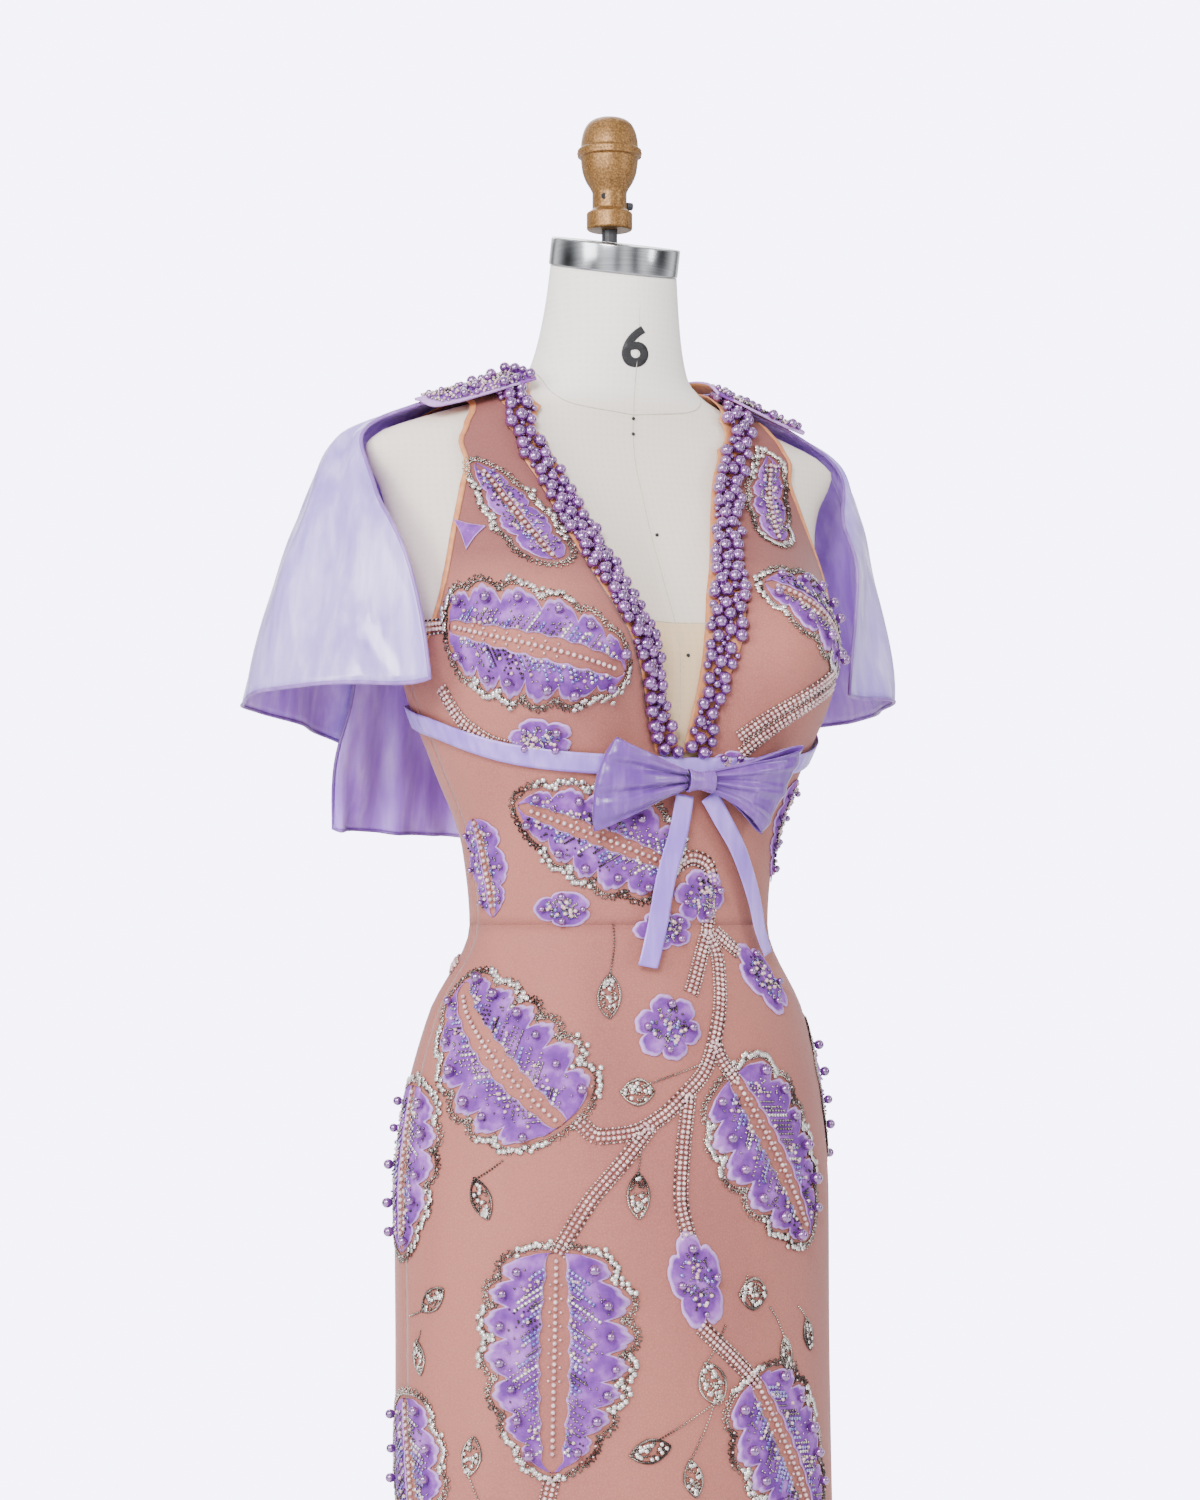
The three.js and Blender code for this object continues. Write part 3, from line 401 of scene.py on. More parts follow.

# %% [markdown]
# Velvet takes the light in its nap: dark where it is looked into and pale where the nap leans
# away. Its tone differs in random patches, partly the nap's own lay and partly painted sheen.
# Both edges of each piece are painted paler, a painted sheen along the edges that are sewn
# down; the edge shows in the pieces' own map, where the second value runs from the inner edge
# to the outer one.

# %% Velvet
PILE_AND_SHEEN_PATCHES, PILE_TUFTS = 14, 1.6
velvet, shader = finish("lavender_cut_velvet", 0x783A9C, 0.9, Sheen_Weight=0.3, Sheen_Roughness=0.3,
                        Sheen_Tint=linear(0xD3B5F0))
flat_place = node(velvet, "ShaderNodeTexCoord").outputs["UV"]
across = node(velvet, "ShaderNodeSeparateXYZ", {"Vector": flat_place}).outputs["Y"]
# partly painted sheen: random patches of the nap, painted from dark to pale
pile_and_sheen = node(velvet, "ShaderNodeValToRGB", {"Fac": grain(velvet, PILE_AND_SHEEN_PATCHES, 4)},
            ((0.32, 0x5C2684), (0.5, 0x783A9C), (0.7, 0xA266BE))).outputs["Color"]
# painted sheen: both edges of each piece are painted paler, through the pieces' own map
edge = node(velvet, "ShaderNodeValToRGB", {"Fac": across},
            ((0.0, 0xFFFFFF), (0.07, 0x000000), (0.86, 0x000000), (0.95, 0xFFFFFF))).outputs["Color"]
tone = node(velvet, "ShaderNodeMix", {MIX_SHARE: edge, MIX_FIRST: pile_and_sheen, MIX_SECOND: linear(0xBA90D2)},
            data_type="RGBA").outputs[MIX_RESULT]
surface(velvet, shader, tone, relief=grain(velvet, PILE_TUFTS), millimetres=0.4)

# %% [markdown]
# The cape, the ribbon and the bow are satin: long floats of yarn that lie one way and give a soft
# gloss in streaks. The streaks and broad clouds of that gloss are painted into the colour, from
# each satin's darker colour to its paler one, which is painted sheen. Its right side is pale and
# its wrong side, seen inside the cape, is duller; the deeper colour of that wrong side is painted
# shade for the inside of the cape. The bow's satin is a darker copy of the ribbon's, which is
# painted shade.

# %% Satin
SATIN_SHEEN_STREAKS, SATIN_SHEEN_CLOUDS, SATIN_CRUMPLE = 9, 90, 48


def make_satin(name, low, middle, high, roughness):
    made, made_shader = finish(name, middle, roughness, Sheen_Weight=0.35, Sheen_Roughness=0.3,
                               Specular_IOR_Level=0.6)
    streaks = grain(made, SATIN_SHEEN_STREAKS, 5, stretch=(1, 1, 0.12))
    # painted sheen: streaks of the gloss, painted from the darker colour to the paler one
    sheen_streak_tone = node(made, "ShaderNodeValToRGB", {"Fac": streaks},
                   ((0.3, low), (0.52, middle), (0.72, high))).outputs["Color"]
    # painted sheen: broad clouds of the gloss, painted into the colour
    cloudy = node(made, "ShaderNodeValToRGB", {"Fac": grain(made, SATIN_SHEEN_CLOUDS, 2)},
                  ((0.35, low), (0.6, high))).outputs["Color"]
    tone = node(made, "ShaderNodeMix", {MIX_SHARE: 0.35, MIX_FIRST: sheen_streak_tone, MIX_SECOND: cloudy},
                data_type="RGBA").outputs[MIX_RESULT]
    crumple = grain(made, SATIN_CRUMPLE, 3, stretch=(1, 1, 0.6))
    relief = node(made, "ShaderNodeMix", {MIX_SHARE: 0.05, MIX_FIRST: crumple, MIX_SECOND: streaks},
                  data_type="RGBA").outputs[MIX_RESULT]
    surface(made, made_shader, tone, relief=relief, millimetres=6, strength=0.7)
    return made


satin = make_satin("lavender_satin", 0x8E76CE, 0xA48EDC, 0xC8B6EE, 0.24)
# partly painted shade: the wrong side is rougher, as real satin is, and its deeper colour is painted shade for
# the inside of the cape
shaded_satin_inside = make_satin("shaded_satin_wrong_side", 0x9A60DC, 0xB282EC, 0xD0AAF8, 0.4)
ribbon_satin = make_satin("ribbon_satin", 0x8058C8, 0x9A74DC, 0xBA98EC, 0.3)
# painted shade: the bow is a darker copy of the ribbon's satin, matched to the bow's shaded side
shaded_bow_satin = make_satin("shaded_bow_satin", 0x5A3088, 0x6A3E96, 0x8C60B4, 0.24)
hem_satin = make_satin("rolled_hem_satin", 0x663E92, 0x7E56AA, 0xA07AC6, 0.45)

# %% [markdown]
# Beads: moulded pearls have a pearly coat over a coloured core, silver beads are glass lined with
# metal, and sequins are thin clear discs that flash. The tone of each bead differs a little, which
# a coarse noise through the whole dress gives.

# %% Pearls, beads and sequins


def make_bead(name, low, high, roughness, metallic, coat, size, coat_roughness=0.08, coat_ior=1.5):
    made, made_shader = finish(name, high, roughness, Metallic=metallic, Coat_Weight=coat,
                               Coat_Roughness=coat_roughness, Coat_IOR=coat_ior)
    surface(made, made_shader, grain(made, size, 1), ((0.35, low), (0.65, high)))
    return made


lilac_pearl = make_bead("lilac_moulded_pearl", 0x5C1E74, 0x7E3A90, 0.22, 0.55, 1.0, 9, 0.12, 2.2)
white_pearl = make_bead("rose_white_pearl", 0xB48A8E, 0xDDBDBC, 0.3, 0.0, 1.0, 7, 0.14, 1.8)
silver_bead = make_bead("silver_lined_glass_bead", 0x3A3230, 0xB4AAA0, 0.18, 0.9, 0.3, 40)
clear_sequin = make_bead("clear_sequin", 0xC4BCB6, 0xFAF6F0, 0.12, 0.7, 0.8, 5)
blue_sequin = make_bead("iridescent_lilac_sequin", 0x5A56B0, 0xA9A2E0, 0.16, 0.6, 0.7, 6)

# %% [markdown]
# The form is covered in undyed linen, a little yellower below its bust seam and whiter on the
# neck, and its neck is closed by a brushed steel cap. Real threads are half a millimetre apart,
# and these are drawn 5 mm apart, so that they show. A wave texture of scale one has a wave
# every 0.314 m, and its scale is worked out from that. On top stands a turned finial in aged
# gold paint with brown speckles. The edges of the net are bound in peach satin. The stand is
# black enamelled iron with a steel pole.

# %% Linen
LINEN_THREAD, TONE_FROM, TONE_TO = 5.132, 1200, 1600
WAVE_AT_SCALE_ONE = math.pi / 10
linen, shader = finish("undyed_linen", 0xE9E2D9, 0.9)
place = node(linen, "ShaderNodeTexCoord").outputs["Object"]
threads = {"Vector": place, "Scale": WAVE_AT_SCALE_ONE * per_metre(LINEN_THREAD), "Distortion": 1.5, "Detail": 2}
warp = node(linen, "ShaderNodeTexWave", threads, bands_direction="X").outputs["Fac"]
weft = node(linen, "ShaderNodeTexWave", threads, bands_direction="Z").outputs["Fac"]
weave = node(linen, "ShaderNodeMath", {0: warp, 1: weft}, operation="MULTIPLY").outputs[0]
upward = node(linen, "ShaderNodeSeparateXYZ", {"Vector": place}).outputs["Z"]
share_up = node(linen, "ShaderNodeMapRange", {"Value": upward, "From Min": TONE_FROM * MM,
                                              "From Max": TONE_TO * MM}).outputs["Result"]
shades = node(linen, "ShaderNodeValToRGB", {"Fac": share_up},
              ((0.168, 0xDCC29C), (0.172, 0xE0D3C6), (0.6, 0xE4D9CE), (0.64, 0xF2ECE6))).outputs["Color"]
tone = node(linen, "ShaderNodeMix", {MIX_SHARE: weave, MIX_FIRST: shades, MIX_SECOND: linear(0xFBF9F6)},
            data_type="RGBA", blend_type="MULTIPLY").outputs[MIX_RESULT]
surface(linen, shader, tone, relief=weave, millimetres=0.04, strength=0.4)

seam_thread, shader = finish("linen_seam_thread", 0xC4B8A8, 0.9)
surface(seam_thread, shader, grain(seam_thread, 3), ((0.3, 0xB8AB9A), (0.7, 0xD0C5B6)))

# %% Binding, steel, iron, gold paint and ink
binding, shader = finish("peach_satin_binding", 0xBE7443, 0.55, Sheen_Weight=0.2)
surface(binding, shader, grain(binding, 6), ((0.3, 0xB46A3C), (0.7, 0xCB8655)))

steel, shader = finish("brushed_steel", 0xA4A6AA, 0.2, Metallic=1.0)
brushing = grain(steel, 40, 6, stretch=(1, 1, 60))
surface(steel, shader, brushing, ((0.3, 0x96989C), (0.7, 0xB0B2B6)), brushing, 0.01, 0.3)

iron, shader = finish("black_enamelled_iron", 0x2E2E31, 0.5, Specular_IOR_Level=0.4)
surface(iron, shader, grain(iron, 12, 5), ((0.35, 0x242427), (0.75, 0x45454A)), grain(iron, 3, 4), 0.3)

gold_paint, shader = finish("speckled_gold_paint", 0x7E5626, 0.42, Metallic=0.5)
speckle = grain(gold_paint, 1.4, 4)
surface(gold_paint, shader, speckle, ((0.36, 0x624420), (0.5, 0x7C572B), (0.68, 0x9C7444)), speckle, 0.15, 0.4)

# this black also paints the shade of the set screw's hole on the finial
ink_and_shade, shader = finish("black_print_ink_and_hole_shade", 0x17171A, 0.6)
surface(ink_and_shade, shader, grain(ink_and_shade, 2), ((0.3, 0x111113), (0.8, 0x26262A)))

# %% Finish the plain pieces
for name, material in {
    "stand_base": iron, "stand_hub": iron, "stand_pole": steel, "finial_screw": iron, "finial_set_screw": iron,
}.items():
    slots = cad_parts[name].material_slots
    for slot in slots:
        slot.material = material
    print(name, "is finished as", material.name)

# %% [markdown]
# The form is a padded body without arms or legs. It is the figure itself, closed above and below,
# and its neck is cut along the tilted cap. A grid is wrapped round the figure, its two ends are
# welded and the open rims are filled.

# %% The form's body
FORM_BOTTOM, FORM_EDGE, NECK_TOP, NECK_TURN_IN = 770, 5, 1553, 1480
NECK_TILT = math.radians(14)


def tilted(points):
    share = np.clip((points[:, 2] - NECK_TURN_IN) / (NECK_TOP - NECK_TURN_IN), 0, 1)
    points[:, 2] += share * math.tan(NECK_TILT) * points[:, 1]
    return points


def form_place(u, v):
    height = FORM_BOTTOM + FORM_EDGE + (NECK_TOP - FORM_BOTTOM - FORM_EDGE) * v
    points = bare_figure(360 * u - 180, height)
    points[v < 0.001] *= (0.97, 0.97, 1)
    return tilted(points)


form = cloth_grid("form_cover", 120, 150, form_place)
edit(form, lambda: weld(0.05), bpy.ops.mesh.select_non_manifold, bpy.ops.mesh.edge_face_add)
edit(form, outward)
form.data.materials.append(linen)
smooth(form)
settle(form, "linen", "form_body")
print(form.name, "has", len(form.data.polygons), "faces")

# %% [markdown]
# Seams of the form are fine raised lines of stitching. A curve that lies on the figure with a
# round bevel, turned to a mesh, is the simplest way to make such a cord, and it serves for every
# rolled hem too.

# %% A cord along a line of places


def cord(name, points, radius, material):
    curve = bpy.data.curves.new(name, "CURVE")
    curve.dimensions = "3D"
    curve.bevel_depth = radius * MM
    curve.bevel_resolution = 2
    curve.use_fill_caps = True
    line = curve.splines.new("POLY")
    line.points.add(len(points) - 1)
    for point, spot in zip(line.points, np.asarray(points) * MM):
        point.co = (*spot, 1)
    piece = bpy.data.objects.new(name, curve)
    bpy.context.collection.objects.link(piece)
    only(piece)
    bpy.ops.object.convert(target="MESH")
    piece = bpy.context.object
    piece.data.materials.clear()
    piece.data.materials.append(material)
    smooth(piece)
    return piece


def through(points, count):
    """A smooth line of count points through the given ones."""
    points = np.asarray(points, float)
    at = smooth_table([(i, *point) for i, point in enumerate(points)])
    return at(np.linspace(0, len(points) - 1, count))


FORM_SEAMS = {
    "front": ((0, 1180), (0, 1250), (0, 1330), (0, 1400), (0, 1436), (-0.5, 1548)),
    "neck_right": ((0, 1436), (-22, 1441), (-45, 1452), (-70, 1465), (-90, 1472)),
    "neck_left": ((0, 1436), (22, 1441), (45, 1452), (70, 1465), (90, 1472)),
    "bust": ((-26, 1268), (-12, 1268), (0, 1268), (12, 1268), (26, 1268)),
    "arm_right": ((-58, 1330), (-66, 1300), (-78, 1262), (-90, 1243)),
}
SEAM_OUT, SEAM_RADIUS, SEAM_POINTS = 0.1, 0.4, 60
form_seams = join([
    cord("seam_" + name, figure_point(*through(places, SEAM_POINTS).T, SEAM_OUT), SEAM_RADIUS, seam_thread)
    for name, places in FORM_SEAMS.items()
])
form_seams.name = "form_seams"
settle(form_seams, "linen")

# %% [markdown]
# The size number is printed on the neck. A text is made a mesh, cut fine, and each of its points
# is then laid on the neck, a fraction of a millimetre out.

# %% The size number and the pins
NUMBER_ANGLE, NUMBER_HEIGHT, NUMBER_TALL, NUMBER_OUT = -2, 1490, 36, 0.35
bpy.ops.object.select_all(action="DESELECT")
bpy.ops.object.text_add()
number = bpy.context.object
number.data.body = "6"
number.data.align_x = "CENTER"
number.data.align_y = "CENTER"
number.data.offset = 0.03
number.data.resolution_u = 8
only(number)
bpy.ops.object.convert(target="MESH")
number = bpy.context.object
number.name = "size_number"
edit(number, lambda: weld(0.1), bpy.ops.mesh.quads_convert_to_tris,
     lambda: bpy.ops.mesh.subdivide(number_cuts=3))
flat = vertices_of(number)
low, high = flat.min(0), flat.max(0)
flat = (flat - (low + high) / 2) * NUMBER_TALL / (high - low)[1]
aside, upward = cloth_scale(NUMBER_ANGLE, NUMBER_HEIGHT)
spots = figure_point(NUMBER_ANGLE + flat[:, 0] / aside, NUMBER_HEIGHT + flat[:, 1] / upward, NUMBER_OUT)
move_vertices(number, tilted(spots) * MM)
face_away(number)
thicken(number, 0.3)
number.data.materials.clear()
number.data.materials.append(ink_and_shade)
settle(number, "dark_iron")

PINS = ((0, 1433), (0, 1421), (1.5, 1339), (2, 1243))
PIN_RADIUS, PIN_OUT = 1.4, 0.6
pins = []
for angle, height in PINS:
    pins.append(added("pin", bpy.ops.mesh.primitive_uv_sphere_add, segments=12, ring_count=8,
                      radius=PIN_RADIUS * MM, location=figure_point(angle, height, PIN_OUT) * MM))
    bpy.ops.object.transform_apply(location=True)
    pins[-1].data.materials.append(ink_and_shade)
form_pins = join(pins)
form_pins.name = "form_pins"
smooth(form_pins)
settle(form_pins, "dark_iron")

# %% [markdown]
# The steel cap is a short cylinder with rounded rims. The finial is turned on a lathe, so its
# profile is swept round its axis. Fine beads run round its widest ring. On its neck, where the
# set screw goes in, a thin black disc stands for the dark of the hole, which is painted shade.

# %% Neck cap and finial
CAP_RADIUS, CAP_HEIGHT, CAP_MIDDLE, CAP_RIM, GAP = 51, 22, 5, 1.5, 0.3
cap_foot = NECK_TOP + math.tan(NECK_TILT) * CAP_MIDDLE + GAP
cap = added("steel_cap", bpy.ops.mesh.primitive_cylinder_add, vertices=128, radius=CAP_RADIUS * MM,
            depth=CAP_HEIGHT * MM, location=(0, 0, CAP_HEIGHT / 2 * MM))
bpy.ops.object.transform_apply(location=True)
cap.rotation_euler = (NECK_TILT, 0, 0)
cap.location = (0, CAP_MIDDLE * MM, cap_foot * MM)
bpy.ops.object.transform_apply(location=True, rotation=True)
apply_modifier(cap, "BEVEL", width=CAP_RIM * MM, segments=3, limit_method="ANGLE")
cap.data.materials.append(steel)
only(cap)
bpy.ops.object.shade_smooth_by_angle(angle=math.radians(40))
settle(cap, "cap_steel", "neck_cap")

FINIAL_Y, FINIAL_BOTTOM = 11, 1588
FINIAL = (
    (0, 0), (16, 0), (18.1, 1.8), (18.1, 7), (18.1, 13), (15.4, 15.5), (13.6, 17.5), (13.6, 23), (13.6, 29),
    (15, 33), (18.5, 38.7), (21.5, 47), (22.6, 55), (22.8, 57.6), (25.3, 59), (25.3, 63.8), (22.9, 65.8),
    (22.4, 71), (20.9, 78), (17.6, 84.6), (12, 88.6), (5, 90.2), (0, 90.4),
)
profile_at = smooth_table([(i, *row) for i, row in enumerate(FINIAL)])


def finial_place(u, v):
    radius, height = profile_at(v * (len(FINIAL) - 1)).T
    turn = 2 * math.pi * u
    return np.stack([radius * np.cos(turn), FINIAL_Y + radius * np.sin(turn), FINIAL_BOTTOM + height], -1)


finial = cloth_grid("gold_finial", 64, 132, finial_place)
edit(finial, lambda: weld(0.05), outward)
finial.data.materials.append(gold_paint)
smooth(finial)
RING_BEADS, RING_RADIUS, RING_HEIGHT, RING_BEAD = 60, 25.2, 61.4, 0.7
ring = []
for turn in np.arange(RING_BEADS) * 2 * math.pi / RING_BEADS:
    spot = (RING_RADIUS * math.cos(turn), FINIAL_Y + RING_RADIUS * math.sin(turn), FINIAL_BOTTOM + RING_HEIGHT)
    ring.append(added("ring_bead", bpy.ops.mesh.primitive_ico_sphere_add, subdivisions=1,
                      radius=RING_BEAD * MM, location=np.array(spot) * MM))
    bpy.ops.object.transform_apply(location=True)
    ring[-1].data.materials.append(gold_paint)
finial = join([finial, *ring])
settle(finial, "bronze", "finial")
# painted shade: a thin black disc on the finial's neck stands for the dark of the set screw's hole
HOLE_RADIUS, HOLE_SHADE_THICK, HOLE_AT = 2.4, 1.2, (-9.5, FINIAL_Y - 9.6, FINIAL_BOTTOM + 25)
finial_hole_shade = added("finial_hole_shade", bpy.ops.mesh.primitive_cylinder_add, vertices=20, radius=HOLE_RADIUS * MM,
                    depth=HOLE_SHADE_THICK * MM, rotation=(math.pi / 2, 0, 0), location=np.array(HOLE_AT) * MM)
bpy.ops.object.transform_apply(location=True, rotation=True)
finial_hole_shade.data.materials.append(ink_and_shade)
settle(finial_hole_shade, "dark_iron")

# %% [markdown]
# The net is cut into the same pieces as a real gown: two bodice fronts, two bodice backs, three
# midriff pieces and three skirt pieces. Each is a grid between its two edges, laid 4.5 mm out
# of the form, so that the layers of net have room. The edges come from the same tables as the
# plain model. The V lies a little to the wearer's right: its left edge is turned toward the
# middle by a few degrees, row by row.

# %% Edges of the bodice
CLOTH_OUT, CLOTH_WALL, SEAM_HALF, UNDERBUST_HALF, WAIST_HEIGHT = 4.5, 1.2, 0.2, 0.5, 1040
NECKLINE = (
    (0.5, 1170, 8.5, 1169), (3.5, 1189, 10.5, 1188), (7, 1217, 13.5, 1214), (10.5, 1250, 19, 1247),
    (14.5, 1281, 24, 1283), (16.8, 1312, 26, 1320), (18, 1346, 27.2, 1357), (20, 1380, 28.5, 1386),
    (21.5, 1407, 29.5, 1411), (27, 1428, 35, 1425), (35, 1438, 43.5, 1433.5), (50, 1449.5, 55.5, 1441.5),
    (66, 1456, 66.5, 1446), (90, 1461.5, 90, 1449.5),
)
# degrees that each row of the left neckline is turned toward the middle
LEFT_NECK_TURN = (0, 1.5, 3, 5, 6.5, 5, 2.5, 1.5, 1, 0.5, 0, 0, 0, 0)
ARMHOLE_FRONT = (
    (90, 1235), (84, 1241), (77, 1254), (71, 1276), (65, 1304), (58, 1336), (50, 1369), (44, 1395),
    (44.5, 1413), (51, 1427), (64, 1436.5), (90, 1443),
)
ARMHOLE_BACK = (
    (90, 1235), (97, 1243), (106, 1264), (116, 1296), (123, 1332), (129, 1368), (130, 1396), (125, 1417),
    (112, 1432), (90, 1443),
)
BACK_NECK = ((180, 1472), (150, 1471), (122, 1467), (104, 1463.5), (90, 1461.5))
UNDERBUST = (
    (0, 1158), (25, 1162), (42, 1166), (57, 1172), (70, 1181), (84, 1192), (105, 1202), (140, 1208),
    (180, 1210),
)
NECK_ROWS, SIDE_ROWS, BACK_ROWS, NAPE_ROWS, FOOT_FADE = 16, 2, 14, 4, 5
underbust_at = smooth_table(UNDERBUST)


def lengths_along(spots):
    return np.concatenate([[0], np.linalg.norm(np.diff(spots, axis=0), axis=1).cumsum()])


def at_rows(table, position, rows=None):
    """A table's first two columns between its rows, by row number or by the positions given."""
    rows = np.arange(len(table)) if rows is None else rows
    return np.stack([np.interp(position, rows, table[:, k]) for k in (0, 1)], -1)


def seam_at(angle):
    """Height of the underbust seam."""
    return underbust_at(np.abs(angle))[..., 0]


def spaced(rows, count):
    """Rows of a table of places, spaced evenly along the cloth."""
    rows = np.array(rows, float)
    along = lengths_along(figure_point(rows[:, -2], rows[:, -1], CLOTH_OUT))
    return smooth_table(np.column_stack([along, rows]))(np.linspace(0, along[-1], count + 1))


ARMHOLE_FOOT, NAPE = ARMHOLE_FRONT[0][1], BACK_NECK[0][1]
side_seam = [(90, seam_at(90) + (ARMHOLE_FOOT - seam_at(90)) * i / SIDE_ROWS) for i in range(SIDE_ROWS)]
left_neckline = np.array(NECKLINE) - np.outer(LEFT_NECK_TURN, (1, 0, 1, 0))
neck_rows = {"right": spaced(NECKLINE, NECK_ROWS), "left": spaced(left_neckline, NECK_ROWS)}
front_outer = np.vstack([side_seam, spaced(ARMHOLE_FRONT, NECK_ROWS + 1 - SIDE_ROWS)])
centre_rows = BACK_ROWS - NAPE_ROWS
centre_back = [(180, seam_at(180) + (NAPE - seam_at(180)) * i / centre_rows) for i in range(centre_rows)]
back_inner = np.vstack([centre_back, spaced(BACK_NECK, NAPE_ROWS)])
back_outer = np.vstack([side_seam, spaced(ARMHOLE_BACK, BACK_ROWS - SIDE_ROWS)])


def between(start, end, u, v, foot=True):
    """Angle and height of places between two edges: u runs across and v upward."""
    row = v * (len(start) - 1)
    low, high = at_rows(start, row), at_rows(end, row)
    width = np.linalg.norm(bare_figure(*low.T) - bare_figure(*high.T), axis=1)
    trim = SEAM_HALF / np.maximum(width, 4 * SEAM_HALF)
    share = (trim + (1 - 2 * trim) * u)[:, None]
    angle, height = (low + (high - low) * share).T
    if foot:
        foot_angle = start[0, 0] + (end[0, 0] - start[0, 0]) * u
        foot_height = start[0, 1] + (end[0, 1] - start[0, 1]) * u
        lift = seam_at(foot_angle) + UNDERBUST_HALF - foot_height
        height = height + lift * np.clip(1 - row / FOOT_FADE, 0, 1)
    return angle, height


# %% Sew the net pieces


def net_piece(node_name, columns, rows, places):
    piece, (width, length, area) = sewn("net_" + node_name, columns, rows,
                                        lambda u, v: figure_point(*places(u, v), CLOTH_OUT), CLOTH_WALL, net)
    settle(piece, "beaded_mesh", node_name)
    print(piece.name, "cut", round(width, 3), "by", round(length, 3), "m")


def mirrored(places, sign):
    """The same places on the wearer's right for a sign of -1, with the same way across."""
    def swapped(u, v):
        angle, height = places(u if sign > 0 else 1 - u, v)
        return sign * angle, height
    return swapped


for side, sign in (("right", -1), ("left", 1)):
    front_inner = np.vstack([[(0, seam_at(0))], neck_rows[side][:, 2:]])
    net_piece("bodice_front_" + side, 40, 64,
              mirrored(lambda u, v: between(front_inner, front_outer, u, v), sign))
    net_piece("bodice_back_" + side, 32, 56,
              mirrored(lambda u, v: between(back_outer, back_inner, u, v), sign))

LOWER_PANELS = (("front", -90, 90), ("back_left", 90, 180), ("back_right", -180, -90))
PANEL_GAP = 0.1
for suffix, first, last in LOWER_PANELS:
    def angle_of(u, first=first, last=last):
        return first + PANEL_GAP + (last - first - 2 * PANEL_GAP) * u

    def midriff_place(u, v):
        return angle_of(u), WAIST_HEIGHT + (seam_at(angle_of(u)) - UNDERBUST_HALF - WAIST_HEIGHT) * v

    def skirt_place(u, v):
        return angle_of(u), HEM_HEIGHT + (WAIST_HEIGHT - HEM_HEIGHT) * v

    columns = (last - first) // 3
    net_piece("midriff_" + suffix, columns, 16, midriff_place)
    net_piece("skirt_" + suffix, columns, 96, skirt_place)

# %% [markdown]
# Beads are small and there are thousands. A bead is modelled once as a primitive with a few
# faces, and then copied to every place in one mesh, each copy with its own points. A copy gets
# the cloth's normal as its upward direction, so sequins lie flat and bugles lie along their row.

# %% Bead shapes and the function that sews them on


def bead_shape(operator, **settings):
    piece = added("bead", operator, **settings)
    edit(piece, bpy.ops.mesh.quads_convert_to_tris)
    corners = np.array([face.vertices for face in piece.data.polygons])
    points = vertices_of(piece)
    bpy.data.objects.remove(piece)
    return points, corners


seed = bead_shape(bpy.ops.mesh.primitive_ico_sphere_add, subdivisions=1, radius=1)
ball = bead_shape(bpy.ops.mesh.primitive_uv_sphere_add, segments=10, ring_count=6, radius=1)
small_ball = bead_shape(bpy.ops.mesh.primitive_uv_sphere_add, segments=8, ring_count=5, radius=1)
disc = bead_shape(bpy.ops.mesh.primitive_cylinder_add, vertices=6, radius=1, depth=2)
rod = bead_shape(bpy.ops.mesh.primitive_cylinder_add, vertices=4, radius=1, depth=2)
tube = (rod[0][:, [2, 1, 0]], rod[1][:, ::-1])
BEADS = {
    "pearl": (ball, lilac_pearl), "white": (seed, white_pearl), "silver": (seed, silver_bead),
    "sequin": (disc, clear_sequin), "blue": (disc, blue_sequin), "bugle": (tube, silver_bead),
    "round_white": (small_ball, white_pearl),
}
bead_total = 0


def sew_beads(name, batches):
    """Each batch is a kind, centres, upward directions, directions along and half sizes, in millimetres."""
    global bead_total
    points, corners, looks, materials, start = [], [], [], [], 0
    for kind, centre, up, along, size in batches:
        if len(centre) == 0:
            continue
        (shape, faces), material = BEADS[kind]
        if material not in materials:
            materials.append(material)
        up = unit(up)
        side = unit(np.cross(up, along))
        axes = np.stack([np.cross(side, up), side, up], axis=1)
        size = np.asarray(size, float).reshape(-1, 1 if np.ndim(size) < 2 else 3)
        size = np.broadcast_to(size, (len(centre), 3))
        spots = centre[:, None] + np.einsum("nmk,nkj->nmj", shape[None] * size[:, None], axes)
        steps = start + len(shape) * np.arange(len(centre))
        points.append(spots.reshape(-1, 3))
        corners.append((faces[None] + steps[:, None, None]).reshape(-1, 3))
        looks.append(np.full(len(corners[-1]), materials.index(material)))
        start += len(shape) * len(centre)
        bead_total += len(centre)
    points, corners, looks = np.concatenate(points) * MM, np.concatenate(corners), np.concatenate(looks)
    mesh = bpy.data.meshes.new(name)
    mesh.vertices.add(len(points))
    mesh.vertices.foreach_set("co", points.ravel())
    mesh.loops.add(corners.size)
    mesh.loops.foreach_set("vertex_index", corners.ravel())
    mesh.polygons.add(len(corners))
    mesh.polygons.foreach_set("loop_start", 3 * np.arange(len(corners)))
    mesh.polygons.foreach_set("material_index", looks)
    mesh.update(calc_edges=True)
    for material in materials:
        mesh.materials.append(material)
    piece = bpy.data.objects.new(name, mesh)
    bpy.context.collection.objects.link(piece)
    smooth(piece)
    settle(piece, "pearls")
    return piece


def on_cloth(angle, height, out):
    """Centres, upward directions and directions round the figure for beads at those places."""
    angle, height = np.asarray(angle, float), np.asarray(height, float)
    up = figure_normal(angle, height)
    round_it = bare_figure(angle + 0.5, height) - bare_figure(angle - 0.5, height)
    return figure_point(angle, height, out), up, unit(round_it)


# %% [markdown]
# A pattern on the cloth is drawn flat, in millimetres, in a frame of its own: x runs along the
# pattern and y across it. One function turns a flat drawing into places on the figure, and the
# beads take their direction from the same drawing.

# %% A flat drawing laid on the cloth


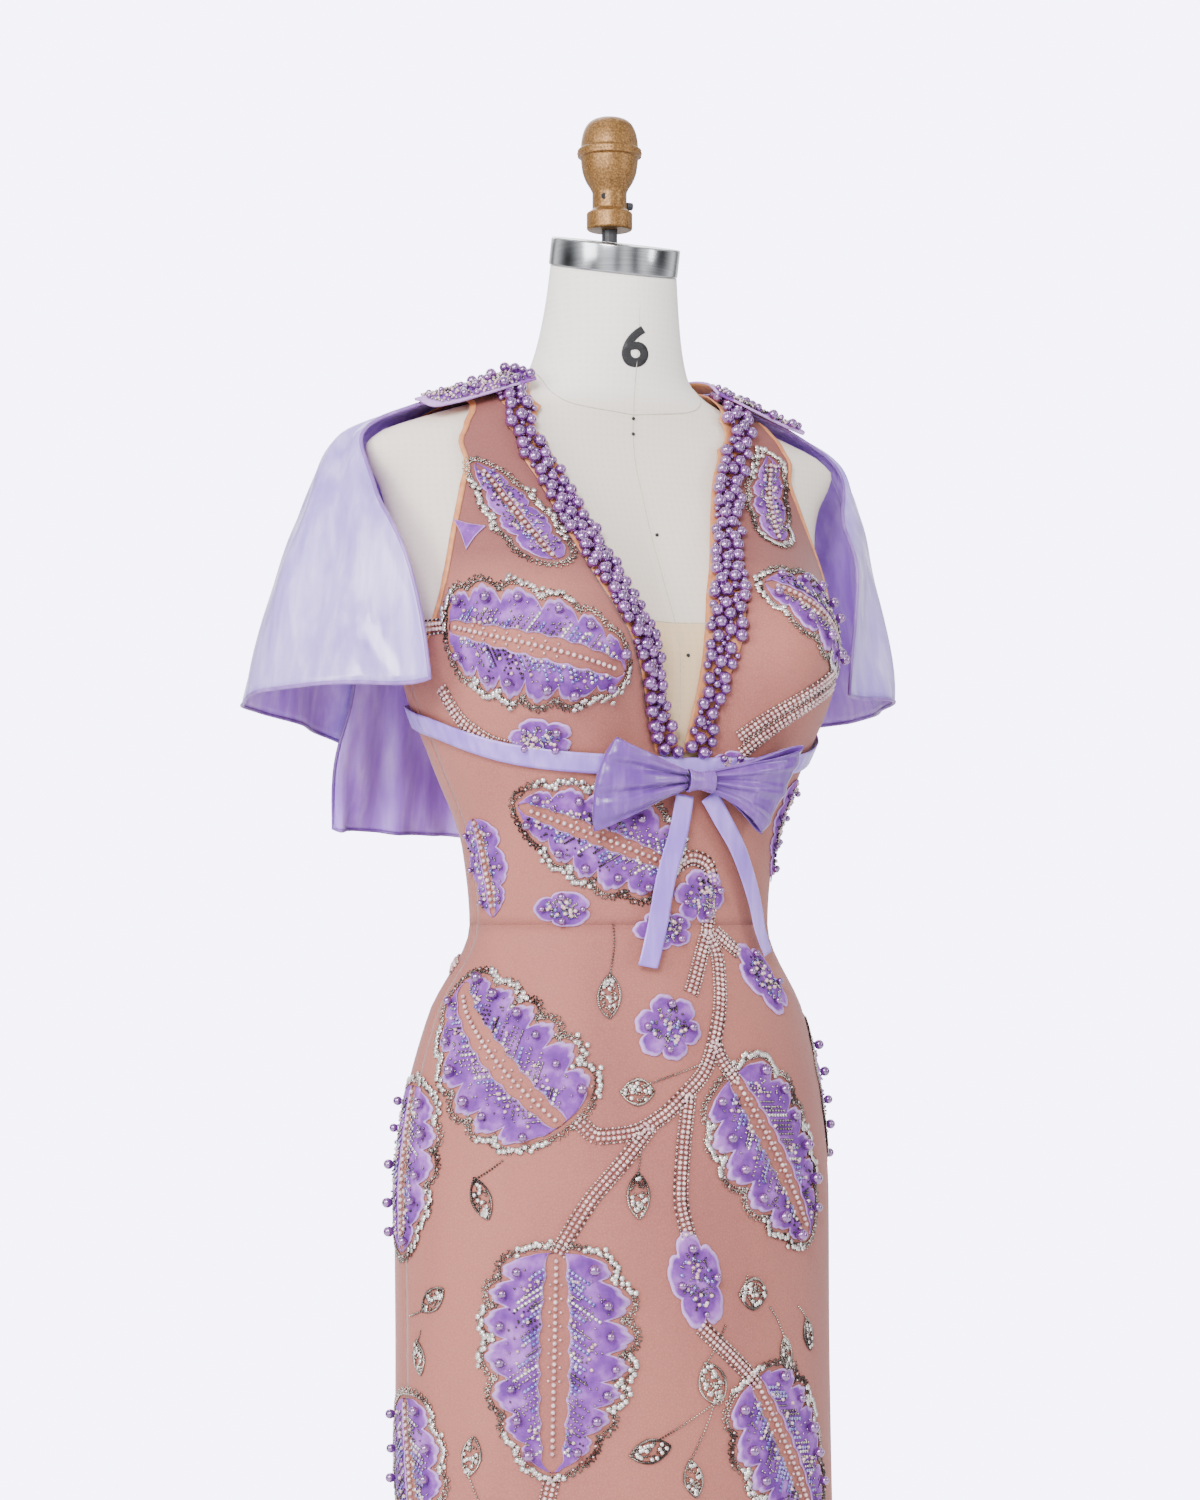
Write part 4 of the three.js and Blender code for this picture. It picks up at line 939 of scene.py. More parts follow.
class Drawing:
    """A flat frame with its start on the cloth, which runs in the direction of run."""

    def __init__(self, angle, height, run=(1, 0), middle=None):
        self.start = np.array([angle, height], float)
        self.run = np.array(run, float) / np.linalg.norm(run)
        self.scale = np.array(cloth_scale(*(middle or (angle, height))))

    def place(self, x, y):
        run = self.run
        flat = np.stack([run[0] * x + run[1] * y, run[1] * x - run[0] * y], -1)
        return tuple(np.moveaxis(self.start + flat / self.scale, -1, 0))

    def points(self, x, y, out):
        return figure_point(*self.place(x, y), out)

    def beads(self, kind, x, y, out, size, direction=None):
        x, y = np.atleast_1d(np.asarray(x, float)), np.atleast_1d(np.asarray(y, float))
        centre = self.points(x, y, out)
        up = figure_normal(*self.place(x, y))
        turn = np.zeros(len(x)) if direction is None else np.broadcast_to(direction, (len(x),))
        along = self.points(x + np.cos(turn), y + np.sin(turn), out) - centre
        return kind, centre, up, along, size


def leaf_drawing(stalk_angle, stalk_height, tip_angle, tip_height):
    middle = ((stalk_angle + tip_angle) / 2, (stalk_height + tip_height) / 2)
    aside, upward = cloth_scale(*middle)
    run = np.array([(tip_angle - stalk_angle) * aside, (tip_height - stalk_height) * upward])
    return Drawing(stalk_angle, stalk_height, run, middle), float(np.linalg.norm(run))


# %% [markdown]
# Each large leaf has two velvet halves with scalloped edges, either side of a bare strip of net
# with one row of pearls. Sequins, seed beads and bugles radiate over the inner part, large
# pearls sit near the lobes, and a ring of silver beads runs round the whole leaf a little way
# off. The outline is a formula with lobes and small scallops, so every leaf is of one family
# without any being a copy.

# %% Leaf outlines
LEAVES = (
    ("leaf_bust_right", -68, 1262, -22, 1228, 40), ("leaf_bust_left", 59, 1256, 24, 1298, 38),
    ("leaf_chest_right", -34, 1308, -42.5, 1388, 18), ("leaf_chest_left", 36, 1336, 36.5, 1410, 17),
    ("leaf_underbust", -2, 1084, -56, 1131, 36), ("leaf_hip_right", -34, 892, -80, 994, 45),
    ("leaf_hip_left", 14, 926, 42, 802, 48), ("leaf_thigh_middle", -35, 800, -37, 640, 54),
    ("leaf_thigh_left", 18, 700, 45, 570, 44), ("leaf_side_right_upper", -92, 918, -92, 794, 38),
    ("leaf_side_right_lower", -90, 686, -82, 566, 35), ("leaf_waist_side_right", -80, 1122, -76, 1046, 21),
    ("leaf_waist_side_left", 62, 1156, 66, 1074, 24), ("leaf_hip_side_left", 80, 960, 86, 850, 36),
    ("leaf_knee_middle", 4, 540, -6, 430, 36), ("leaf_knee_right", -58, 450, -48, 340, 36),
    ("leaf_hem_left", 40, 290, 50, 170, 38), ("leaf_back_hip", -146, 960, -154, 850, 36),
    ("leaf_back_thigh", 146, 760, 152, 640, 38), ("leaf_back_knee", -160, 500, -152, 380, 38),
)
VELVET_OUT, VELVET_WALL, VELVET_RISE = 5.6, 0.9, 1.0
LEAF_SHOULDER, LEAF_TAPER, LEAF_WIDEST = 0.35, 0.6, 0.534
RING_OFF, RING_WIDE = 5.8, 1.8
RAY_STEP, RAY_LEAN = 2.7, 0.7
VELVET_TOP = VELVET_OUT + VELVET_RISE


def leaf_half(share, half, lobes, side, scallops=True):
    """Half width of a leaf at a share of its length, on one side of its strip."""
    share = np.clip(share, 0, 1)
    body = share ** LEAF_SHOULDER * (1 - share) ** LEAF_TAPER / LEAF_WIDEST
    beat = lobes * (share + 0.03 * np.sin(7 * share + half + 2 * side))
    large = np.abs(np.sin(np.pi * beat)) ** 0.7
    small = np.abs(np.sin(np.pi * 3 * beat)) ** 0.7 if scallops else 0.5
    return half * body * (0.64 + 0.3 * large + 0.08 * small)


def bare_strip(share, half):
    """Half width of the bare strip between the velvet halves."""
    return half * (0.10 + 0.07 * np.sin(np.pi * share)) * (1 + 0.25 * np.abs(np.sin(9 * np.pi * share)))


def velvet_leaf(name, drawing, length, half, lobes):
    halves = []
    total = 0
    for sign in (-1, 1):
        def place(u, v):
            outer = leaf_half(u, half, lobes, sign)
            inner = np.minimum(bare_strip(u, half), 0.5 * outer)
            y = sign * (inner + (outer - inner) * v)
            dome = np.sin(np.pi * np.clip(v, 0, 1)) ** 0.4
            rise = VELVET_RISE * dome * np.clip((outer - inner) / 10, 0, 1)
            return drawing.points(length * u, y, VELVET_OUT + rise)
        piece = cloth_grid(name + "_half", 104, 5, place)
        face_away(piece)
        total += sum(face.area for face in piece.data.polygons)
        halves.append(piece)
    leaf = join(halves)
    leaf.name = "velvet_" + name
    edit(leaf, weld)
    thicken(leaf, VELVET_WALL)
    leaf.data.materials.append(velvet)
    smooth(leaf)
    return leaf, total


def leftward(run):
    """Flat directions turned a quarter to the left."""
    return np.stack([-run[:, 1], run[:, 0]], -1)


def ring_line(length, half, lobes, off):
    """The leaf's outline pushed out by off: its flat places by length along it, and its length."""
    share = np.linspace(0.0, 1.0, 110)
    x = np.concatenate([length * share, length * share[::-1]])
    y = np.concatenate([leaf_half(share, half, lobes, 1, scallops=False),
                        -leaf_half(share[::-1], half, lobes, -1, scallops=False)])
    line = np.stack([x, y], -1)
    line = line + off * leftward(unit(np.roll(line, -2, 0) - np.roll(line, 2, 0)))
    for _ in range(4):
        line = (np.roll(line, 1, 0) + 2 * line + np.roll(line, -1, 0)) / 4
    closed = np.vstack([line, line[:1]])
    along = lengths_along(closed)
    return lambda steps: at_rows(closed, np.mod(steps, along[-1]), along), along[-1]


def ring_beads(drawing, length, half, lobes):
    line, total = ring_line(length, half, lobes, RING_OFF)
    batches = []

    def around(step, shift, jitter):
        """Flat places every step round the ring, moved out by shift, and the ring's direction there."""
        steps = np.arange(0, total - step / 2, step)
        steps = steps + dice.normal(0, jitter * 0.3, len(steps))
        here = line(steps)
        run = unit(line(steps + 1) - here)
        spot = here + leftward(run) * (shift + dice.normal(0, jitter, len(steps)))[:, None]
        return spot, np.arctan2(run[:, 1], run[:, 0])

    spot, turn = around(2.3, -RING_WIDE, 0.3)
    batches.append(drawing.beads("silver", *spot.T, CLOTH_OUT + 0.9, 0.95))
    spot, turn = around(2.9, 0, 0.5)
    loose = turn + dice.normal(0, 0.7, len(turn))
    batches.append(drawing.beads("bugle", *spot.T, CLOTH_OUT + 1.0, [[1.5, 0.6, 0.6]], loose))
    spot, turn = around(3.0, RING_WIDE, 0.3)
    zigzag = np.where(np.arange(len(turn)) % 2 == 0, 0.9, -0.9)
    batches.append(drawing.beads("bugle", *spot.T, CLOTH_OUT + 1.0, [[1.7, 0.55, 0.55]], turn + zigzag))
    spot, turn = around(2.7, 0.4, 1.5)
    flash = np.sin(np.arange(len(spot)) * 0.13 + dice.uniform(0, 6)) > 0.1
    batches.append(drawing.beads("sequin", *spot[flash].T, CLOTH_OUT + 1.8, [[2.1, 2.1, 0.2]],
                                 dice.uniform(0, 6, flash.sum())))
    spot, turn = around(8.5, -0.6, 1.0)
    batches.append(drawing.beads("white", *spot.T, CLOTH_OUT + 1.2, 1.0))
    return batches


def leaf_beads(drawing, length, half, lobes):
    share = np.arange(0.04, 0.93, 5.0 / length)
    batches = [drawing.beads("round_white", length * share, 0 * share, CLOTH_OUT + 1.7, 1.8)]
    for sign in (-1, 1):
        wide = share[(share > 0.12) & (share < 0.62)][::2] + 2.3 / length
        batches.append(drawing.beads("white", length * wide, sign * 4.0 + 0 * wide, CLOTH_OUT + 1.2, 1.1))
        for start in np.arange(0.08, 0.92, 4.4 / length):
            inner = bare_strip(start, half) + 1.5
            reach = leaf_half(start, half, lobes, sign) * dice.uniform(0.42, 0.72) - inner
            steps = inner + np.arange(max(int(reach / RAY_STEP), 1)) * RAY_STEP
            x = length * start + (steps - inner) * RAY_LEAN
            kind = ("sequin", "blue", "silver", "silver", "blue", "bugle")[int(dice.integers(0, 6))]
            size = {"bugle": [[1.5, 0.75, 0.75]], "blue": [[1.6, 1.45, 0.25]],
                    "sequin": [[1.6, 1.35, 0.25]], "silver": 1.15}[kind]
            batches.append(drawing.beads(kind, x, sign * steps, VELVET_TOP + 0.7, size,
                                         math.atan2(sign, RAY_LEAN)))
        for kind, share_of, reach, size in (("round_white", 0.1, 0.35, 1.5), ("silver", 0.4, 0.6, 0.95)):
            spots = dice.uniform(0.08, 0.9, int(length * share_of))
            reaches = dice.uniform(0.0, reach, len(spots))
            across = bare_strip(spots, half) + leaf_half(spots, half, lobes, sign) * reaches
            batches.append(drawing.beads(kind, length * spots, sign * across, VELVET_TOP + 0.9, size))
        centres = (np.arange(lobes) + 0.5) / lobes
        centres = centres[(centres > 0.06) & (centres < 0.94)] + dice.normal(0, 0.015, len(centres))
        across = leaf_half(centres, half, lobes, sign) * dice.uniform(0.68, 0.8, len(centres))
        size = np.minimum(dice.uniform(3.4, 5.0, len(centres)), half / 9.2)
        batches.append(drawing.beads("pearl", length * centres, sign * across, VELVET_TOP + size, size))
    return batches


def net_under(angle, height):
    """The piece of net that a place on the figure lies on."""
    side = "left" if angle > 0 else "right"
    if height > seam_at(angle):
        return ("net_bodice_front_" if abs(angle) < 90 else "net_bodice_back_") + side
    level = "net_midriff_" if height > WAIST_HEIGHT else "net_skirt_"
    return level + ("front" if abs(angle) < 90 else "back_" + side)


# %% Sew the leaves
for name, stalk_angle, stalk_height, tip_angle, tip_height, half in LEAVES:
    drawing, length = leaf_drawing(stalk_angle, stalk_height, tip_angle, tip_height)
    lobes = max(3, round(length / 24))
    leaf, area = velvet_leaf(name, drawing, length, half, lobes)
    ring = [] if "waist_side" in name else ring_beads(drawing, length, half, lobes)
    beads = sew_beads("beads_" + name, leaf_beads(drawing, length, half, lobes) + ring)
    settle(leaf, "velvet", name)
    net_under((stalk_angle + tip_angle) / 2, (stalk_height + tip_height) / 2)
print(len(LEAVES), "leaves with", bead_total, "beads")

# %% [markdown]
# Small appliques of velvet fill the gaps between the leaves: round flowers, lobed drops and
# half flowers at the seams. Each is a lobed patch drawn from its middle, with a cluster of
# pearls and seed beads in the centre. The one on the chest is a plain triangle without beads.

# %% Small appliques
PATCHES = (
    # name, angle, height, half length, half width, lobes, turn in degrees
    ("chest", -54, 1333, 16, 12, 3, 70), ("waist_drop", -43, 1052, 22, 14, 3, 0),
    ("ribbon_half", -44, 1181, 24, 17, 5, 0), ("waist_round", 10, 1062, 23, 21, 6, 20),
    ("waist_half", -5, 1036, 24, 16, 5, 0), ("hip_flower", -5, 963, 27, 25, 6, 15),
    ("hip_drop", 36, 998, 33, 21, 5, -60), ("thigh_drop", 1, 776, 38, 22, 5, -75),
    ("bow_half", 16, 1163, 15, 11, 3, 0),
)
PLAIN_PATCHES = ("chest",)
PATCH_BEADS = (
    # kind, count, reach, size, lift
    ("round_white", 14, 0.5, 1.6, 1.2), ("silver", 44, 0.6, 1.0, 0.8),
    ("blue", 16, 0.55, [[1.6, 1.6, 0.25]], 0.8), ("bugle", 14, 0.6, [[1.7, 0.7, 0.7]], 1.0),
)


def patch(name, angle, height, long, wide, lobes, turn):
    turn = math.radians(turn)
    drawing = Drawing(angle, height, (math.cos(turn), math.sin(turn)))

    def outline(phi):
        if name in PLAIN_PATCHES:
            return 0.5 / np.cos((phi + math.pi / 3) % (2 * math.pi / 3) - math.pi / 3) ** 1.2
        return 0.72 + 0.26 * np.abs(np.sin(lobes * phi / 2)) ** 0.6 + 0.04 * np.abs(np.sin(lobes * phi * 1.5))

    def place(u, v):
        phi = 2 * np.pi * u
        radius = outline(phi) * v
        return drawing.points(long * radius * np.cos(phi), wide * radius * np.sin(phi),
                              VELVET_OUT + VELVET_RISE * (1 - v ** 6))

    piece = cloth_grid("velvet_" + name, 96, 8, place)
    edit(piece, weld, outward)
    face_away(piece)
    area = sum(face.area for face in piece.data.polygons)
    thicken(piece, VELVET_WALL)
    piece.data.materials.append(velvet)
    smooth(piece)
    settle(piece, "velvet")
    cut = {"flat": (2 * wide * MM, 2 * long * MM), "held": "stretched", "rests_on": [net_under(angle, height)],
           "area": min(area, 4 * wide * long * MM * MM)}
    if name in PLAIN_PATCHES:
        return
    batches = []
    for kind, count, reach, size, lift in PATCH_BEADS:
        phi = dice.uniform(0, 2 * np.pi, count)
        radius = reach * np.sqrt(dice.uniform(0, 1, count))
        batches.append(drawing.beads(kind, long * radius * np.cos(phi), wide * radius * np.sin(phi),
                                     VELVET_TOP + lift, size, phi))
    phi = np.arange(4) * np.pi / 2 + dice.uniform(0, 1)
    size = dice.uniform(2.4, 3.8, 4)
    batches.append(drawing.beads("pearl", 0.66 * long * np.cos(phi), 0.66 * wide * np.sin(phi),
                                 VELVET_TOP + size, size))
    beads = sew_beads("beads_patch_" + name, batches)


for row in PATCHES:
    patch(*row)

# %% [markdown]
# Vines join the leaves: a row of rose white pearls between two rows of silver seed beads. Buds are
# small leaves filled with silver beads, on a thread of beads.

# %% Vines and buds
VINES = (
    ((-1, 1084), (6, 1091), (13, 1085), (15, 1066), (13, 1034)),
    ((13, 1034), (9, 1016), (3, 988)), ((17, 1034), (22, 1026), (27, 1018)),
    ((13, 1034), (16, 1016), (14, 992), (9, 952), (5, 930), (0, 916), (-8, 897), (-16, 886), (-24, 884),
     (-30, 896)),
    ((9, 952), (11, 938), (15, 922)), ((-11, 890), (-17, 868), (-26, 838), (-32, 812), (-35, 798)),
    ((0, 912), (-2, 874), (-3, 838), (-1, 808)), ((2, 742), (8, 726), (14, 710), (19, 696)),
    ((-74, 1218), (-70, 1196), (-60, 1178), (-50, 1172)), ((20, 1172), (29, 1194), (40, 1214), (50, 1226)),
    ((18, 1184), (26, 1203), (36, 1221), (46, 1234)), ((-86, 1262), (-80, 1263), (-70, 1263)),
    ((50, 566), (34, 552), (18, 546), (6, 540)), ((-37, 636), (-44, 560), (-54, 490), (-58, 452)),
    ((-6, 426), (6, 380), (24, 330), (40, 292)), ((146, 800), (128, 870), (110, 920), (90, 950)),
    ((-146, 962), (-130, 1000), (-112, 1010), (-96, 1004)), ((-160, 502), (-172, 560), (176, 610), (160, 650)),
)
BUDS = (
    # stem's angle and height, bud's angle and height, half length, half width, turn in degrees
    (-24, 1040, -23, 986, 16, 8, -85), (7, 938, -14, 916, 12, 9, 0), (-50, 866, -56, 838, 15, 7, -70),
    (-14, 884, -14, 840, 16, 8, -90), (-86, 748, -74, 762, 13, 7, 40), (-80, 738, -81, 718, 12, 6, -80),
    (-54, 590, -60, 650, 14, 7, 80), (8, 690, -12, 654, 15, 8, 10), (6, 690, -1, 632, 13, 7, -80),
    (9, 742, 5, 700, 16, 11, -70), (16, 778, 18, 764, 13, 11, 0), (24, 752, 30, 716, 13, 6, -80),
    (36, 750, 41, 728, 12, 6, -75),
)


def line_of(places, step, shift=0.0):
    """Places with even steps along a line on the cloth, shifted to one side, in millimetres."""
    fine = np.array(places, float)
    unwrapped = np.column_stack([np.degrees(np.unwrap(np.radians(fine[:, 0]))), fine[:, 1]])
    fine = through(unwrapped, 40 * len(places))
    along = lengths_along(figure_point(*fine.T, CLOTH_OUT))
    steps = np.arange(0, along[-1], step)
    at = at_rows(fine, steps, along)
    ahead = at_rows(fine, steps + 0.5, along) - at_rows(fine, steps - 0.5, along)
    scale = np.stack(cloth_scale(*at.T), -1)
    return at + shift * leftward(unit(ahead * scale)) / scale


VINE_ROWS = (
    # kind, step, shift to either side, height over the cloth, size
    ("round_white", 3.8, 2.0, 1.6, 1.65), ("silver", 2.4, 5.2, 1.0, 1.05),
    ("white", 4.8, 5.304, 1.15, 1.05),
)
batches = []
for places in VINES:
    for kind, step, aside, lift, size in VINE_ROWS:
        for shift in (-aside, aside):
            batches.append((kind, *on_cloth(*line_of(places, step, shift).T, CLOTH_OUT + lift), size))
sew_beads("bead_vines", batches)

batches = []
for stem_angle, stem_height, angle, height, long, wide, turn in BUDS:
    turn = math.radians(turn)
    drawing = Drawing(angle, height, (math.cos(turn), math.sin(turn)))
    x = np.linspace(-1, 1, 40)
    edge_y = (1 - np.abs(x) ** 2.2) ** 0.8
    for sign in (-1, 1):
        batches.append(drawing.beads("bugle", long * x[::2], sign * wide * edge_y[::2], CLOTH_OUT + 1.0,
                                     [[1.8, 0.75, 0.75]], math.atan2(-sign * wide, long) * np.sign(x[::2])))
    count = int(long * wide * 0.55)
    x = dice.uniform(-0.85, 0.85, count)
    y = dice.uniform(-0.8, 0.8, count) * (1 - np.abs(x) ** 2.2) ** 0.8
    batches.append(drawing.beads("silver", long * x, wide * y, CLOTH_OUT + 1.0, 1.05))
    batches.append(drawing.beads("sequin", long * x[::4], wide * y[::4], CLOTH_OUT + 1.9, [[1.6, 1.6, 0.2]]))
    end = np.array(drawing.place(np.array([-long]), np.array([0.0])))[:, 0]
    halfway = ((stem_angle + end[0]) / 2 + 0.5, (stem_height + end[1]) / 2)
    stem = ((stem_angle, stem_height), halfway, tuple(end))
    centre, up, along = on_cloth(*line_of(stem, 2.4).T, CLOTH_OUT + 0.8)
    batches.append(("silver", centre, up, along, 0.95))
sew_beads("bead_buds", batches)
print("beads so far:", bead_total)

# %% [markdown]
# The V neckline carries a band of lilac pearls of several sizes, sewn as close as they go, on
# a strip of peach satin that shows along the inner edge. The pearls are thrown at random places
# in the band, the largest first, and one is kept if it sinks no more than a little into those
# already there.

# %% Pearl bands
# radius of each size of pearl and how many are thrown
PEARL_SIZES = ((5.2, 900), (4.5, 2500), (3.6, 3000), (2.6, 3000))
BAND_STRIP_WALL = 1.0


def packed(sizes, centres_at, spread):
    """Throws pearls at (u, v) in a unit square and keeps those that have room."""
    kept, radii = np.empty((0, 3)), np.empty(0)
    for radius, tries in sizes:
        for spot in centres_at(*dice.uniform(0, 1, (2, tries)), radius):
            gap = np.linalg.norm(kept - spot, axis=1)
            if (gap >= spread * (radii + radius)).all():
                kept, radii = np.vstack([kept, spot]), np.append(radii, radius)
    return kept, radii


for side, sign in (("right", -1), ("left", 1)):
    band_inner, band_outer = neck_rows[side][:, :2], neck_rows[side][:, 2:]

    def strip_place(u, v):
        return mirrored(lambda a, b: between(band_inner, band_outer, a, b, foot=False), sign)(u, v)

    strip, (width, length, area) = sewn("neck_strip_" + side, 8, 96,
                                        lambda u, v: figure_point(*strip_place(u, v), CLOTH_OUT),
                                        BAND_STRIP_WALL, binding)

    def pearls_at(u, v, radius):
        across = 0.16 + 0.84 * u
        angle, height = strip_place(across if sign > 0 else 1 - across, 0.97 * v)
        return figure_point(angle, height, CLOTH_OUT + 0.85 * radius + 0.4)

    centres, radii = packed(PEARL_SIZES, pearls_at, 0.84)
    up = np.tile((0.0, -1.0, 0.01), (len(centres), 1))
    along = np.tile((1.0, 0, 0), (len(centres), 1))
    pearls = sew_beads("pearls_" + side, [("pearl", centres, up, along, radii)])
    settle(strip, "binding", "neckline_pearls_" + side)
    print("band", side, "has", len(centres), "pearls")

# %% [markdown]
# Each armhole is edged with a narrow peach binding, folded over the raw edge of the net.

# %% Armhole bindings
BINDING_WIDE, BINDING_OVER, BINDING_WALL = 4.0, 1.2, 0.8
for side, sign in (("right", -1), ("left", 1)):
    front = spaced(ARMHOLE_FRONT, 60)
    back = spaced(ARMHOLE_BACK, 50)
    loop = np.vstack([front, back[1:-1][::-1]])
    loop_scale = np.stack(cloth_scale(*loop.T), -1)
    inward = -leftward(unit((np.roll(loop, -1, 0) - np.roll(loop, 1, 0)) * loop_scale)) / loop_scale
    count = len(loop)

    def binding_place(u, v):
        row = np.rint(v * count).astype(int) % count
        spot = loop[row] + inward[row] * (BINDING_WIDE * u - BINDING_OVER)[:, None]
        return figure_point(sign * spot[:, 0], spot[:, 1], CLOTH_OUT + 0.6 + 0.5 * np.sin(np.pi * u))

    edge_piece, (width, length, area) = sewn("armhole_edge_" + side, 4, count, binding_place, BINDING_WALL,
                                             binding, steps=[weld])
    settle(edge_piece, "binding", "armhole_binding_" + side)

# %% [markdown]
# A satin ribbon covers the underbust seam and ends in a flat bow. The ribbon is a long narrow
# sheet, the bow's loops are one ribbon each, folded back on itself and pinched at the knot, and
# the tails hang from under the knot.

# %% Ribbon
RIBBON_HALF, RIBBON_OUT, RIBBON_GAP, SATIN_WALL = 7.7, 8.4, 0.15, 0.8
for suffix, first, last in LOWER_PANELS:
    def ribbon_place(u, v, first=first, last=last):
        angle = first + RIBBON_GAP + (last - first - 2 * RIBBON_GAP) * u
        ripple = 0.25 * np.sin(angle * 0.9) * np.sin(np.pi * v)
        return figure_point(angle, seam_at(angle) + RIBBON_HALF * (2 * v - 1), RIBBON_OUT + ripple)

    ribbon, (width, length, area) = sewn("satin_ribbon_" + suffix, last - first, 6, ribbon_place, SATIN_WALL,
                                         ribbon_satin)
    settle(ribbon, "satin", "ribbon_" + suffix)

# %% Bow
BOW_ANGLE, BOW_HEIGHT = 3.5, 1150
LOOP = (
    # along, out of the form, half height
    (10, 17, 7), (30, 22, 14.5), (50, 25, 25), (68, 24, 35), (75, 19.5, 38), (68, 15, 34), (50, 13.6, 24),
    (30, 13.2, 14), (10, 13.2, 7),
)
BOW_LEAN, BOW_REACH = 0.22, 75
loop_at = smooth_table([(i, *row) for i, row in enumerate(LOOP)])
KNOT_HALF_WIDE, KNOT_HALF_TALL, KNOT_INNER, KNOT_OUTER, TAIL_WALL = 10.5, 7.5, 12.2, 24, 0.7
bow_scale = cloth_scale(BOW_ANGLE, BOW_HEIGHT)


def bow_points(along, up, out):
    return figure_point(BOW_ANGLE + along / bow_scale[0], BOW_HEIGHT + up / bow_scale[1], out)


bow_parts = []
for side, sign in (("right", -1), ("left", 1)):
    def loop_place(u, v):
        along, out, half = loop_at(u * (len(LOOP) - 1)).T
        across = 2 * v - 1
        near = np.clip(1 - along / BOW_REACH, 0, 1)
        front_side = np.where(u < 0.5, 1, -1)
        ease = (0.25 + 0.75 * near) * np.clip(along / 22, 0.3, 1)
        large, small = np.cos(3.0 * np.pi * across + 0.8 * sign), np.cos(5.6 * np.pi * across + 1)
        pleat = ease * (6.0 * large + 2.4 * small)
        bulge = 2.0 * (1 - across ** 2) * (1 - near)
        tip = 3.5 * np.exp(-((along - BOW_REACH) / 14) ** 2) * (1 - across ** 2)
        up = across * half
        lean = BOW_LEAN * up * along / BOW_REACH
        return bow_points(sign * (along + tip) + lean, up, out + front_side * (0.6 * pleat + bulge))

    # the loops take the bow's darker satin, which is painted shade
    loop, (width, length, area) = sewn("satin_loop_" + side, 72, 44, loop_place, SATIN_WALL, shaded_bow_satin,
                                       side=0, turned=False)
    settle(loop, "satin", "bow_loop_" + side)


def knot_place(u, v):
    turn = 2 * np.pi * v
    middle = (KNOT_OUTER + KNOT_INNER) / 2
    deep = (KNOT_OUTER - KNOT_INNER) / 2
    across = 2 * u - 1
    pinch = 1 - 0.12 * np.cos(np.pi * across)
    crease = 1 + 0.04 * np.cos(9 * np.pi * across)
    return bow_points(KNOT_HALF_WIDE * across, KNOT_HALF_TALL * pinch * crease * np.cos(turn),
                      middle + deep * pinch * crease * np.sin(turn))


knot, (width, length, area) = sewn("satin_knot", 24, 40, knot_place, TAIL_WALL, shaded_bow_satin,
                                   steps=[weld, outward], turned=False)
settle(knot, "satin", "bow_knot")

# %% Tails of the bow
TAILS = (
    ("right", (0.2, 1139), (-2, 1110), (-6, 1075), (-9, 1040), (-12, 1006)),
    ("left", (8.6, 1139), (14, 1122), (24, 1094), (34, 1058), (41, 1014)),
)
TAIL_OUT, TAIL_HALF = 11.4, 7.2
for side, *places in TAILS:
    middle = line_of(places, 1.0)

    def tail_place(u, v):
        row = v * (len(middle) - 1)
        at = at_rows(middle, row)
        scale = np.stack(cloth_scale(*at.T), -1)
        run = unit(at_rows(np.gradient(middle, axis=0), row) * scale)
        across = TAIL_HALF * (2 * u - 1)
        spot = at + across[:, None] * leftward(run) / scale
        over_beads = 3.4 * np.sin(np.pi * np.clip(v, 0, 1)) ** 0.5
        wave = over_beads + 1.2 * np.sin(7 * v + 1) * np.sin(np.pi * v) + 0.5 * (2 * u - 1) ** 2
        return figure_point(*spot.T, TAIL_OUT + wave)

    tail, (width, length, area) = sewn("satin_tail_" + side, 8, 60, tail_place, TAIL_WALL, ribbon_satin)
    settle(tail, "satin", "bow_tail_" + side)

# %% [markdown]
# The cape is one piece of satin from the right front edge round the back to the left, and a
# second shorter tier hangs under it behind. Each fold line of the plain model is a row of
# points, and a curve runs through them both ways. Finer folds are then added that grow from
# nothing at the shoulder to the hem, and a rolled hem runs along the free edges.

